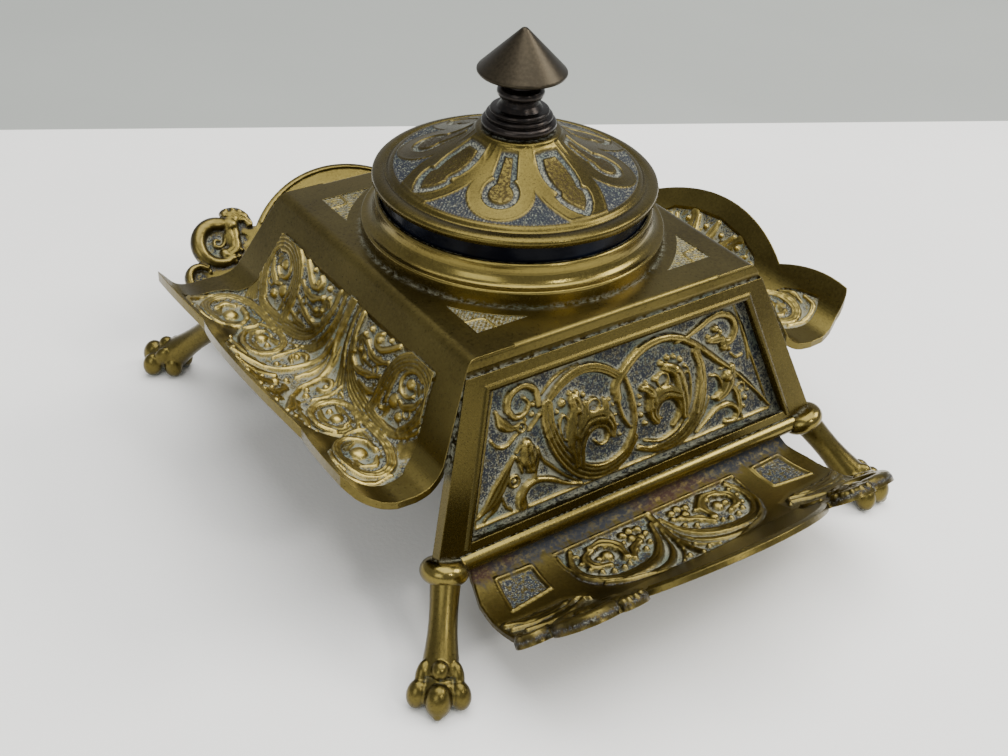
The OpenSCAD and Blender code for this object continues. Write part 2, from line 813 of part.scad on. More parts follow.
module back_tray() {
    color("darkgoldenrod") on_back() tray();
}

module tray_screws() {
    color("peru") tray_screw_places() {
        translate([0, 0, -tray_t - screw_head_h])
            cylinder(h = screw_head_h, r = screw_head_r, $fn = 32);
        translate([0, 0, -tray_t])
            cylinder(h = tray_t + tray_screw_bite - 0.1, r = screw_r, $fn = 32);
    }
}

module front_tray_screws() { tray_screws(); }
module back_tray_screws() { on_back() tray_screws(); }

// ---------------------------------------------------------------- pot

// Glazed pot: a broad rim that rests on the ledge of the collar, and a tapering bowl
module ink_pot() {
    edge = 1.1;
    floor_t = 3.5;
    color("midnightblue") rotate_extrude() polygon(concat(
        [[0, pot_foot_z], [pot_foot_r - 1.5, pot_foot_z], [pot_foot_r, pot_foot_z + 1.5],
            [pot_body_r, ledge_z - 6], [pot_body_r, ledge_z], [pot_rim_r, ledge_z]],
        arc([pot_rim_r - edge, pot_top_z - edge], edge, 0, 90, 5),
        arc([pot_bore_r + edge, pot_top_z - edge], edge, 90, 180, 5),
        [[pot_bore_r, ledge_z - 6], [pot_foot_r - pot_wall, pot_foot_z + floor_t + 4]],
        arc([pot_foot_r - pot_wall - 4, pot_foot_z + floor_t + 4], 4, 0, -90, 5),
        [[0, pot_foot_z + floor_t]]
    ));
}

// ---------------------------------------------------------------- lid

// Upper face of the lid from the rim inwards, as (radius, height above the rim's underside)
function lid_top_line() = concat(
    [[lid_r, 0], [lid_r, 0.9]],
    arc([lid_r - 0.9, 0.9], 0.9, 10, 80, 4),
    [[lid_r - 2.6, 2.35], [lid_r - 3, 2], [lid_r - 3.6, 2.1], [lid_r - 4, 2.75]],
    dome_line(0)
);

// The dome: a long shallow slope that turns up into the seat of the finial
dome_out = lid_r - 5;
dome_in = lid_seat_r + 0.6;
dome_steps = [0, 0.4, 0.6, 0.74, 0.86, 0.94, 1];
function dome_line(down) = [
    for (t = dome_steps)
        [dome_out + (dome_in - dome_out) * t, 3.1 + (lid_rise - 3.9) * (0.78 * t + 0.22 * pow(t, 5)) - down]
];

// A half outline along +X, mirrored in the X axis
module both_halves(half) {
    polygon(half);
    mirror([0, 1]) polygon(half);
}

// Pointed petal: its outside, and the waisted recess in it, drawn in by inset
module leaf_outside() {
    both_halves(concat([[9, 0], [9, 2.8]], bow([12, 4], [20, 8.3], [31, 4.6], 8), [[31, 0]]));
}

module leaf_recess(inset) {
    both_halves(concat(
        [[11.5 + inset, 0]],
        bow([11.5 + inset, 3 - inset], [17, 4.4 - inset], [21.5, 3.5 - inset], 4),
        bow([22, 4.6 - inset], [26.2, 3.4 - inset], [29.5 - 1.8 * inset, 0], 4)
    ));
}

// Keyhole petal: a bar that ends in a round eye
eye_at = 21.6;
module keyhole(bar_in, half_in, half_out, eye_r) {
    polygon([[bar_in, -half_in], [eye_at, -half_out], [eye_at, half_out], [bar_in, half_in]]);
    translate([eye_at, 0]) circle(eye_r);
}

// The sunk parts of the dome in plan: spandrels at the rim, and a recess round the raised
// island in the middle of each petal
island_inset = 0.9;
module petal_plan() {
    difference() {
        circle(dome_out);
        circle(20);
        for (i = [0 : 3]) {
            rotate(90 * i) leaf_outside();
            rotate(90 * i + 45) keyhole(9, 2.8, 7, 8);
        }
    }
    for (i = [0 : 3]) {
        rotate(90 * i) difference() {
            leaf_recess(0);
            leaf_recess(island_inset);
        }
        rotate(90 * i + 45) difference() {
            keyhole(11.4, 1.9, 3.1, 4.2);
            keyhole(11.4 + island_inset, 1, 2.2, 4.2 - island_inset);
        }
    }
}

petal_sink = 0.45;
module lid_dome() {
    color("goldenrod") translate([0, 0, pot_top_z]) difference() {
        rotate_extrude() polygon(concat(
            lid_top_line(),
            [[lid_seat_r + 0.4, lid_rise - 0.4], [lid_seat_r - 0.2, lid_rise], [stud_r + play, lid_rise],
                [stud_r + play, lid_rise - 2.4], [lid_seat_r - 1, lid_rise - 2.4]],
            reversed(dome_line(lid_t)),
            [[pot_bore_r - 0.4, 1.5], [pot_bore_r - 0.4, 0]]
        ));
        intersection() {
            rotate_extrude() polygon(concat(dome_line(petal_sink), reversed(dome_line(-cut))));
            linear_extrude(2 * lid_rise) petal_plan();
        }
    }
}

// Locating ring under the lid, which drops into the mouth of the pot
module lid_flange() {
    depth = 5;
    wall = 1.3;
    outer = pot_bore_r - 0.4;
    color("darkgoldenrod") rotate_extrude() translate([0, pot_top_z]) polygon([
        [outer, 1.5], [outer - wall, 1.5], [outer - wall, -depth], [outer - 0.5, -depth],
        [outer, -depth + 0.8]
    ]);
}

// Turned stem: a stepped foot of three rings, a waist and a bulb under the cone
module finial_stem() {
    z0 = lid_seat_z;
    h = cone_base_z - z0;
    color("saddlebrown") rotate_extrude() translate([0, z0]) polygon(concat(
        [[stud_r + play, 0], [8.4, 0]],
        arc([7.9, 1.25], 1.25, -60, 75, 7),
        [[7.9, 2.5]],
        arc([7.5, 3.1], 0.65, -60, 80, 5),
        [[7.2, 3.9]],
        arc([6.7, 4.4], 0.55, -50, 90, 5),
        [[5.6, 5.1], [4.7, 6.3], [4.45, 7.2], [4.9, 7.5], [4.9, 7.8]],
        arc([4.3, 9], 1.45, -65, 75, 8),
        [[4.3, 10.8], [4.4, h], [stud_r + play, h]]
    ));
}

// Cone of the finial, with a softened tip and rim
module finial_cone() {
    tip_r = 1.3;
    edge_r = 0.6;
    steep = atan(cone_h / cone_r);
    tip_c = [0, cone_h - tip_r];
    cone_seat_r = 4.8;
    edge_c = [cone_r - edge_r, edge_r - 0.2];
    color("dimgray") rotate_extrude() translate([0, cone_base_z]) difference() {
        polygon(concat(
            [[0, 0], [cone_seat_r, 0], [cone_r - 1.8, -0.2]],
            arc(edge_c, edge_r, -80, 90 - steep, 5),
            arc(tip_c, tip_r, 90 - steep, 90, 5)
        ));
        translate([0, -cut]) square([stud_r + play, cut + 5]);
    }
}

module finial_stud() {
    color("peru") translate([0, 0, lid_seat_z - 2.4 - nut_h - 1])
        cylinder(h = cone_base_z + 4.6 - lid_seat_z + 2.4 + nut_h + 1, r = stud_r, $fn = 32);
}

module finial_nut() {
    color("peru") translate([0, 0, lid_seat_z - 2.4 - nut_h]) difference() {
        cylinder(h = nut_h, r = nut_af / 2 / cos(30), $fn = 6);
        translate([0, 0, -cut]) cylinder(h = nut_h + 2 * cut, r = stud_r + play, $fn = 32);
    }
}

saddle();
well_collar();
front_frame();
back_frame();
front_panel();
back_panel();
front_rail();
back_rail();
front_left_ring();
front_right_ring();
back_left_ring();
back_right_ring();
front_left_leg();
front_right_leg();
back_left_leg();
back_right_leg();
front_tray();
back_tray();
saddle_screws();
front_tray_screws();
back_tray_screws();
ink_pot();
lid_dome();
lid_flange();
finial_stem();
finial_cone();
finial_stud();
finial_nut();
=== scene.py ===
"""Desk inkstand of aged cast brass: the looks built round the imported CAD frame.

Every length is in millimetres until a mesh is made, and MM turns it into metres.
Relief is worked as a height field over the flat development of each surface.
"""

import math

import bmesh
import bpy
import numpy as np
from mathutils import Matrix, Vector
from mathutils.geometry import delaunay_2d_cdt


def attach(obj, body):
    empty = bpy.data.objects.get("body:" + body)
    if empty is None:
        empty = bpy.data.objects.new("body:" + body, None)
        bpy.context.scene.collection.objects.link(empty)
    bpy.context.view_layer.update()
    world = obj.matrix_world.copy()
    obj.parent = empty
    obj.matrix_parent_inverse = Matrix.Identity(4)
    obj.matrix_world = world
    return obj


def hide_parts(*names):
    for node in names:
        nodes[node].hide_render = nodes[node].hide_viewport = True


MM = 0.001

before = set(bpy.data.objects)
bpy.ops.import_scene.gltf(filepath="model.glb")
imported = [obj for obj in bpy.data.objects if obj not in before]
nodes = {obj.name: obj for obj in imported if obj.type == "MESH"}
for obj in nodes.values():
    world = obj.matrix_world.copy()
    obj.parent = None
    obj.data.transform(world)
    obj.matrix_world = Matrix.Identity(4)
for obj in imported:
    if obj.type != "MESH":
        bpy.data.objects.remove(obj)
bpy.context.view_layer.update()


def add(name, data):
    """A new object of the scene with this data."""
    thing = bpy.data.objects.new(name, data)
    bpy.context.scene.collection.objects.link(thing)
    return thing


# ---------------------------------------------------------------- camera and stage

CAM_AZIMUTH = math.radians(-36.863)
CAM_ELEVATION = math.radians(35.014)
CAM_ROLL = math.radians(3.824)
CAM_DISTANCE = 332.96
CAM_TARGET = Vector((-13.27, -18.59, 33.6))
CAM_LENS = 47.323


def make_camera():
    """The photograph's camera: a long-ish lens, close to the stand and rolled a little."""
    back = Vector((
        math.sin(CAM_AZIMUTH) * math.cos(CAM_ELEVATION),
        -math.cos(CAM_AZIMUTH) * math.cos(CAM_ELEVATION),
        math.sin(CAM_ELEVATION),
    ))
    right = Vector((math.cos(CAM_AZIMUTH), math.sin(CAM_AZIMUTH), 0))
    up = back.cross(right)
    x = right * math.cos(CAM_ROLL) + up * math.sin(CAM_ROLL)
    y = up * math.cos(CAM_ROLL) - right * math.sin(CAM_ROLL)
    data = bpy.data.cameras.new("camera")
    data.lens = CAM_LENS
    data.sensor_width = 36
    data.clip_start = 0.01
    data.clip_end = 20
    camera = add("camera", data)
    turn = Matrix((x, y, back)).transposed().to_4x4()
    camera.matrix_world = Matrix.Translation((CAM_TARGET + back * CAM_DISTANCE) * MM) @ turn
    bpy.context.scene.camera = camera


# The pale paper ends along this line, two points of it on the table top
PAPER_A = Vector((-58.2, 253.9))
PAPER_B = Vector((312.8, 68.4))


def plane(name, corners, material):
    """A four-cornered sheet, corners in metres."""
    mesh = bpy.data.meshes.new(name)
    mesh.from_pydata(corners, [], [(0, 1, 2, 3)])
    mesh.materials.append(material)
    return add(name, mesh)


def make_stage():
    """A plain floor of two sheets of paper, 3 m each way, the far one darker."""
    along = (PAPER_B - PAPER_A).normalized()
    away = Vector((-along.y, along.x))
    middle = (PAPER_A + PAPER_B) / 2 * MM

    def sheet_of_paper(name, near, far, colour):
        corners = []
        for a, b in ((-3, near), (3, near), (3, far), (-3, far)):
            p = middle + along * a + away * b
            corners.append((p.x, p.y, 0))
        return plane(name, corners, paper_material(f"{name}_paper", colour))

    sheet_of_paper("floor", -3, 0, (0.90, 0.895, 0.87))
    sheet_of_paper("far_floor", 0, 3, (0.32, 0.335, 0.315))


def area_light(name, position, target, size, power, colour=(1, 1, 1)):
    """A rectangular lamp that faces its target; metres and watts."""
    data = bpy.data.lights.new(name, "AREA")
    data.shape = "RECTANGLE"
    data.size, data.size_y = size
    data.energy = power
    data.color = colour
    lamp = add(name, data)
    lamp.location = position
    lamp.rotation_mode = "QUATERNION"
    lamp.rotation_quaternion = (Vector(target) - Vector(position)).to_track_quat("-Z", "Y")


def make_lights():
    """Soft daylight from high on the right, a wide ceiling fill and a dim room."""
    area_light("ceiling", (0.1, 0.0, 1.3), (0, 0, 0.03), (1.5, 1.2), 24)
    area_light("window", (0.75, -0.35, 0.75), (0, 0, 0.03), (0.5, 0.4), 8, (1.0, 0.97, 0.92))
    area_light("lamp", (0.12, -0.95, 0.85), (0, 0, 0.05), (0.16, 0.12), 3.0, (1.0, 0.98, 0.94))
    area_light("left_fill", (-0.9, -0.5, 0.6), (0, 0, 0.04), (0.6, 0.6), 3.5, (0.96, 0.98, 0.97))
    world = bpy.data.worlds.new("room")
    world.use_nodes = True
    world.node_tree.nodes["Background"].inputs["Color"].default_value = (0.95, 0.96, 0.97, 1)
    world.node_tree.nodes["Background"].inputs["Strength"].default_value = 0.58
    bpy.context.scene.world = world


# ---------------------------------------------------------------- materials

class Shader:
    """A short way to write a node tree: every call adds a node and returns its output."""

    def __init__(self, name):
        self.material = bpy.data.materials.new(name)
        self.material.use_nodes = True
        self.tree = self.material.node_tree
        self.bsdf = self.tree.nodes["Principled BSDF"]
        self.coord = self.node("ShaderNodeTexCoord").outputs["Object"]

    def put(self, socket, value):
        """Links an output to a socket, or sets the socket to a number or a colour."""
        if isinstance(value, bpy.types.NodeSocket):
            self.tree.links.new(value, socket)
        elif value is not None:
            socket.default_value = (*value, 1) if isinstance(value, tuple) else value

    def feed(self, node, **inputs):
        """Links or sets inputs of a node, with _ for the blanks in their names."""
        for name, value in inputs.items():
            self.put(node.inputs[name.replace("_", " ")], value)
        return node

    def node(self, kind, **inputs):
        return self.feed(self.tree.nodes.new(kind), **inputs)

    def noise(self, scale, detail=3, roughness=0.5):
        return self.node("ShaderNodeTexNoise", Vector=self.coord, Scale=scale, Detail=detail,
                         Roughness=roughness).outputs["Fac"]

    def ramp(self, value, low, high, out_low=0, out_high=1):
        """Smooth step of value from low..high to out_low..out_high."""
        node = self.node("ShaderNodeMapRange", Value=value, From_Min=low, From_Max=high,
                         To_Min=out_low, To_Max=out_high)
        node.interpolation_type = "SMOOTHSTEP"
        return node.outputs["Result"]

    def math(self, operation, a, b=None, clamp=False):
        node = self.node("ShaderNodeMath")
        node.operation = operation
        node.use_clamp = clamp
        self.put(node.inputs[0], a)
        self.put(node.inputs[1], b)
        return node.outputs[0]

    def times(self, a, b):
        return self.math("MULTIPLY", a, b)

    def plus(self, a, b, share, clamp=False):
        """a + b * share."""
        return self.math("ADD", a, self.times(b, share), clamp)

    def most(self, a, b):
        return self.math("MAXIMUM", a, b)

    def mix(self, share, a, b):
        """Colour a where share is 0, b where it is 1."""
        node = self.node("ShaderNodeMix")
        node.data_type = "RGBA"
        self.put(node.inputs[0], share)
        self.put(node.inputs[6], a)
        self.put(node.inputs[7], b)
        return node.outputs[2]

    def attribute(self, name):
        node = self.node("ShaderNodeAttribute")
        node.attribute_name = name
        return node.outputs["Fac"]

    def creases(self, distance):
        """0 in the open, 1 deep in a crease between surfaces nearer than distance, in metres."""
        node = self.node("ShaderNodeAmbientOcclusion", Distance=distance)
        node.samples = 6
        return self.math("SUBTRACT", 1, node.outputs["AO"])

    def edges(self, radius):
        """Normal rounded over the edges, and 1 along them where the metal is worn."""
        bevel = self.node("ShaderNodeBevel", Radius=radius)
        bevel.samples = 4
        plain = self.node("ShaderNodeNewGeometry")
        dot = self.node("ShaderNodeVectorMath")
        dot.operation = "DOT_PRODUCT"
        self.put(dot.inputs[0], bevel.outputs["Normal"])
        self.put(dot.inputs[1], plain.outputs["Normal"])
        return bevel.outputs["Normal"], self.ramp(dot.outputs["Value"], 0.985, 0.85)

    def bump(self, height, distance, strength, normal=None):
        return self.node("ShaderNodeBump", Height=height, Distance=distance, Strength=strength,
                         Normal=normal).outputs["Normal"]

    def finish(self, colour, metallic, roughness, normal, **others):
        """Wires up the surface; others are further inputs of it."""
        self.feed(self.bsdf, Base_Color=colour, Metallic=metallic, Roughness=roughness,
                  Normal=normal, **others)
        return self.material


def paper_material(name, colour):
    """Matt paper with soft clouds and fine fibres."""
    s = Shader(name)
    cloud = s.noise(6, 4)
    fibre = s.noise(900, 2)
    light = tuple(min(1.0, c * 1.05) for c in colour)
    tint = s.mix(s.ramp(cloud, 0.35, 0.7), colour, light)
    return s.finish(tint, 0.0, 0.85, s.bump(fibre, 0.0002, 0.25), Specular_IOR_Level=0.2)


# How far wear reaches from an edge, and painted shade and dirt from a corner, in metres
WORN_EDGE = 0.0003
SHADE_AND_DIRT_REACH = 0.003

BRASS_DARK = (0.076, 0.058, 0.016)
BRASS_MID = (0.150, 0.118, 0.034)
BRASS_LIGHT = (0.40, 0.310, 0.100)
# dark brown of the metal's stains, also used as painted shade in its creases
STAIN_AND_SHADE = (0.028, 0.020, 0.012)
RUST = (0.035, 0.012, 0.006)
GRIME = (0.014, 0.017, 0.024)
RESIDUE = (0.225, 0.225, 0.165)
VERDIGRIS = (0.130, 0.155, 0.120)

# What a relief tells the brass about each point of it, 0 to 1; Relief.layers makes them
MASKS = ("ground", "hollow", "crest", "pale", "punch", "stain_and_shadow")


def brass_material(name, polish=0.5, chalk=0.5, bare=0.3, tone=1.0, shade_and_grime=0.7, caked=0.0,
                   lathe=False):
    """Aged brass: olive-gold with fine dark specks, bright where worn and dirty where it is sunk.

    chalk is how much of the dirt is pale polish residue, bare how much brass shows through it,
    tone the brightness of the metal, shade_and_grime how dark painted shade and grime make the
    metal in its corners, and caked how much residue has dried on in the hollows. lathe adds the
    fine rings of turned work.
    """
    s = Shader(name)
    rounded, worn = s.edges(WORN_EDGE)
    cloud = s.noise(30, 3, 0.5)
    fine = s.noise(1400, 3, 0.6)
    grain = s.noise(2600, 3, 0.6)
    mottle = s.noise(900, 4, 0.7)
    ground, hollow, crest, pale, punch, stain_and_shadow = (s.attribute(key) for key in MASKS)
    dark, mid, light = (tuple(c * tone for c in colour)
                        for colour in (BRASS_DARK, BRASS_MID, BRASS_LIGHT))

    # the metal, bright on its edges and crests, stained in its specks and darker in its hollows
    shade = s.plus(s.times(cloud, 0.7), fine, 0.3)
    body = s.mix(s.ramp(shade, 0.30, 0.62), dark, mid)
    body = s.mix(s.times(s.most(worn, crest), 0.25 + 0.45 * polish), body, light)
    specks = s.most(s.ramp(grain, 0.62, 0.68), s.times(punch, s.ramp(fine, 0.46, 0.56)))
    body = s.mix(s.times(specks, 0.7), body, STAIN_AND_SHADE)
    body = s.mix(s.times(hollow, 0.7), body, STAIN_AND_SHADE)
    # painted shade, mixed with patchy grime, darkens the metal deep in its creases
    closed = s.creases(SHADE_AND_DIRT_REACH)
    crease_shade_and_grime = s.times(s.ramp(closed, 0.30, 0.58), s.ramp(mottle, 0.34, 0.54, 0.2 * shade_and_grime, shade_and_grime))
    body = s.mix(crease_shade_and_grime, body, STAIN_AND_SHADE)

    # where dirt lies: on the ground between the forms, in seams, and caked in the hollows
    seam = s.times(s.ramp(closed, 0.40, 0.56), s.ramp(mottle, 0.42, 0.54))
    holes = s.ramp(s.plus(mottle, pale, -0.08), 0.52 - 0.16 * bare, 0.66 - 0.16 * bare)
    sunk = s.math("SUBTRACT", ground, s.times(holes, min(1.0, 2.2 * bare)), clamp=True)
    dirt = s.most(s.times(sunk, ground), seam)
    if caked:
        crust = s.times(s.times(hollow, caked), s.ramp(mottle, 0.36, 0.50))
        dirt = s.most(dirt, s.ramp(crust, 0.1, 0.5))

    # what the dirt is: grains of dark grime or of pale and greenish residue
    grains = s.plus(s.times(grain, 0.75), mottle, 0.25)
    grains = s.plus(grains, pale, 0.17)
    grains = s.plus(grains, seam, 0.12)
    chalky = s.ramp(grains, 0.585 - 0.14 * chalk, 0.70 - 0.14 * chalk)
    film = s.mix(s.ramp(s.noise(110, 3), 0.45, 0.65), RESIDUE, VERDIGRIS)
    colour = s.mix(dirt, body, s.mix(chalky, GRIME, film))
    # grime and rust where the stain mask lies, which also serve as painted shadow below the rails
    stain_and_shadow_share = s.times(stain_and_shadow, s.ramp(mottle, 0.40, 0.54, 0.45, 0.95))
    colour = s.mix(stain_and_shadow_share, colour, s.mix(s.ramp(s.noise(60, 2), 0.52, 0.62), GRIME, RUST))
    dirt = s.most(dirt, stain_and_shadow_share)

    metallic = s.ramp(dirt, 0.2, 0.8, 1.0, 0.0)
    rough = s.plus(0.31 - 0.19 * polish, fine, 0.12)
    rough = s.plus(rough, specks, 0.25)
    rough = s.plus(rough, s.most(dirt, crease_shade_and_grime), 0.45, clamp=True)

    height = s.plus(s.times(grain, 0.5), fine, 0.4)
    if lathe:
        rings = s.node("ShaderNodeTexWave", Vector=s.coord, Scale=900, Distortion=0.6)
        rings.bands_direction = "Z"
        height = s.plus(height, rings.outputs["Fac"], 0.06)
    height = s.plus(height, s.times(grains, s.most(ground, punch)), 4)
    normal = s.bump(height, 0.00006, 0.45 - 0.2 * polish, rounded)
    return s.finish(colour, metallic, rough, normal, Specular_IOR_Level=0.25)


def bronze_material(name, dark, light, roughness):
    """Patinated bronze with a fine speckle."""
    s = Shader(name)
    rounded, worn = s.edges(WORN_EDGE)
    speckle = s.noise(1300, 3, 0.6)
    cloud = s.noise(70, 4)
    mixed = s.plus(s.times(speckle, 0.55), cloud, 0.45)
    colour = s.mix(s.ramp(mixed, 0.38, 0.64), dark, light)
    colour = s.mix(s.times(worn, 0.3), colour, tuple(c * 1.7 for c in light))
    rough = s.plus(roughness - 0.06, speckle, 0.14)
    return s.finish(colour, 0.85, rough, s.bump(speckle, 0.00005, 0.2, rounded))


def glaze_material(name):
    """Blue-black glaze, a little uneven."""
    s = Shader(name)
    cloud = s.noise(60, 4)
    colour = s.mix(s.ramp(cloud, 0.4, 0.7), (0.0015, 0.002, 0.004), (0.004, 0.006, 0.012))
    return s.finish(colour, 0.0, s.plus(0.14, cloud, 0.10), s.bump(cloud, 0.0008, 0.5),
                    Specular_IOR_Level=0.06)


def screw_material(name):
    """Plain turned brass of the screws, stud and nut."""
    s = Shader(name)
    fine = s.noise(500, 3)
    colour = s.mix(s.ramp(fine, 0.4, 0.65), (0.16, 0.12, 0.06), (0.36, 0.29, 0.15))
    return s.finish(colour, 1, s.plus(0.34, fine, 0.1), None)


# ---------------------------------------------------------------- meshes

def make_object(name, points, faces, material, body="stand",
                attributes=None, sharp=None):
    """A smooth mesh object from points in millimetres, riding on a body of the frame.

    attributes are values per point, and sharp lists the edges that stay sharp, as point pairs.
    """
    mesh = bpy.data.meshes.new(name)
    mesh.from_pydata((np.asarray(points) * MM).tolist(), [], faces)
    mesh.materials.append(material)
    mesh.polygons.foreach_set("use_smooth", [True] * len(mesh.polygons))
    for key, values in (attributes or {}).items():
        layer = mesh.attributes.new(key, "FLOAT", "POINT")
        layer.data.foreach_set("value", np.asarray(values, np.float32))
    if sharp is not None:
        ends = np.empty(2 * len(mesh.edges), np.int32)
        mesh.edges.foreach_get("vertices", ends)
        keys = np.sort(ends.reshape(-1, 2), 1) @ (len(points), 1)
        wanted = np.sort(np.asarray(sharp), 1) @ (len(points), 1)
        layer = mesh.attributes.new("sharp_edge", "BOOLEAN", "EDGE")
        layer.data.foreach_set("value", np.isin(keys, wanted))
    mesh.update()
    thing = add(name, mesh)
    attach(thing, body)
    return thing


def opposite(thing, name):
    """The same piece on the far side of the stand, turned half round."""
    other = add(name, thing.data)
    other.matrix_world = Matrix.Rotation(math.pi, 4, "Z")
    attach(other, "stand")
    return other


def spline(points, step=0.35):
    """Catmull-Rom curve through the points, as a polyline of short steps."""
    p = np.asarray(points, float)
    if len(p) == 2:
        return p
    p = np.vstack([2 * p[0] - p[1], p, 2 * p[-1] - p[-2]])
    out = []
    for a, b, c, d in zip(p, p[1:], p[2:], p[3:]):
        n = max(2, int(np.linalg.norm(c - b) / step))
        t = (np.arange(n) / n)[:, None]
        out.append(0.5 * (2 * b + (c - a) * t + (2 * a - 5 * b + 4 * c - d) * t**2
                          + (3 * b - a - 3 * c + d) * t**3))
    out.append(p[-2][None])
    return np.vstack(out)


def arc(x, y, r, start, end, steps=24):
    """Points of an arc, angles in degrees."""
    turn = np.radians(np.linspace(start, end, steps))
    return list(zip(x + r * np.cos(turn), y + r * np.sin(turn)))


def both_sides(half):
    """A closed outline from its right half, listed from the middle line round to it again."""
    mirrored = [(-x, y) for x, y in reversed(half) if x > 0.01]
    return np.asarray(list(half) + mirrored)


def soft_step(x, low, high):
    """0 below low, 1 above high, and a smooth step between."""
    t = np.clip((x - low) / (high - low), 0, 1)
    return t * t * (3 - 2 * t)


def inside(outline, u, v):
    """Distance of each point from a closed outline, positive inside it."""
    best = np.full(u.shape, 1e9)
    odd = np.zeros(u.shape, bool)
    for (ax, ay), (bx, by) in zip(outline, np.roll(outline, -1, axis=0)):
        dx, dy = bx - ax, by - ay
        t = np.clip(((u - ax) * dx + (v - ay) * dy) / max(dx * dx + dy * dy, 1e-12), 0, 1)
        best = np.minimum(best, np.hypot(u - ax - t * dx, v - ay - t * dy))
        if dy:
            odd ^= ((ay > v) != (by > v)) & (u < ax + (v - ay) * dx / dy)
    return np.where(odd, best, -best)


def blur(field, cells):
    """Box-blurs a field three times, which is close to a Gaussian."""
    n = max(1, int(cells))
    for _ in range(3):
        for axis in (0, 1):
            pad = [(n, n) if k == axis else (0, 0) for k in (0, 1)]
            total = np.cumsum(np.pad(field, pad, mode="edge"), axis=axis)
            zero = np.zeros_like(np.take(total, [0], axis=axis))
            total = np.concatenate([zero, total], axis=axis)
            size = field.shape[axis]
            high = np.take(total, np.arange(2 * n + 1, 2 * n + 1 + size), axis=axis)
            low = np.take(total, np.arange(size), axis=axis)
            field = (high - low) / (2 * n + 1)
    return field


# ---------------------------------------------------------------- relief

# Heights between which the dirt of the ground gives way to bare metal, and the reach within
# which a form is weighed against what lies round it, in millimetres
GROUND_LOW, GROUND_HIGH = 0.09, 0.22
FORM_REACH = 0.9


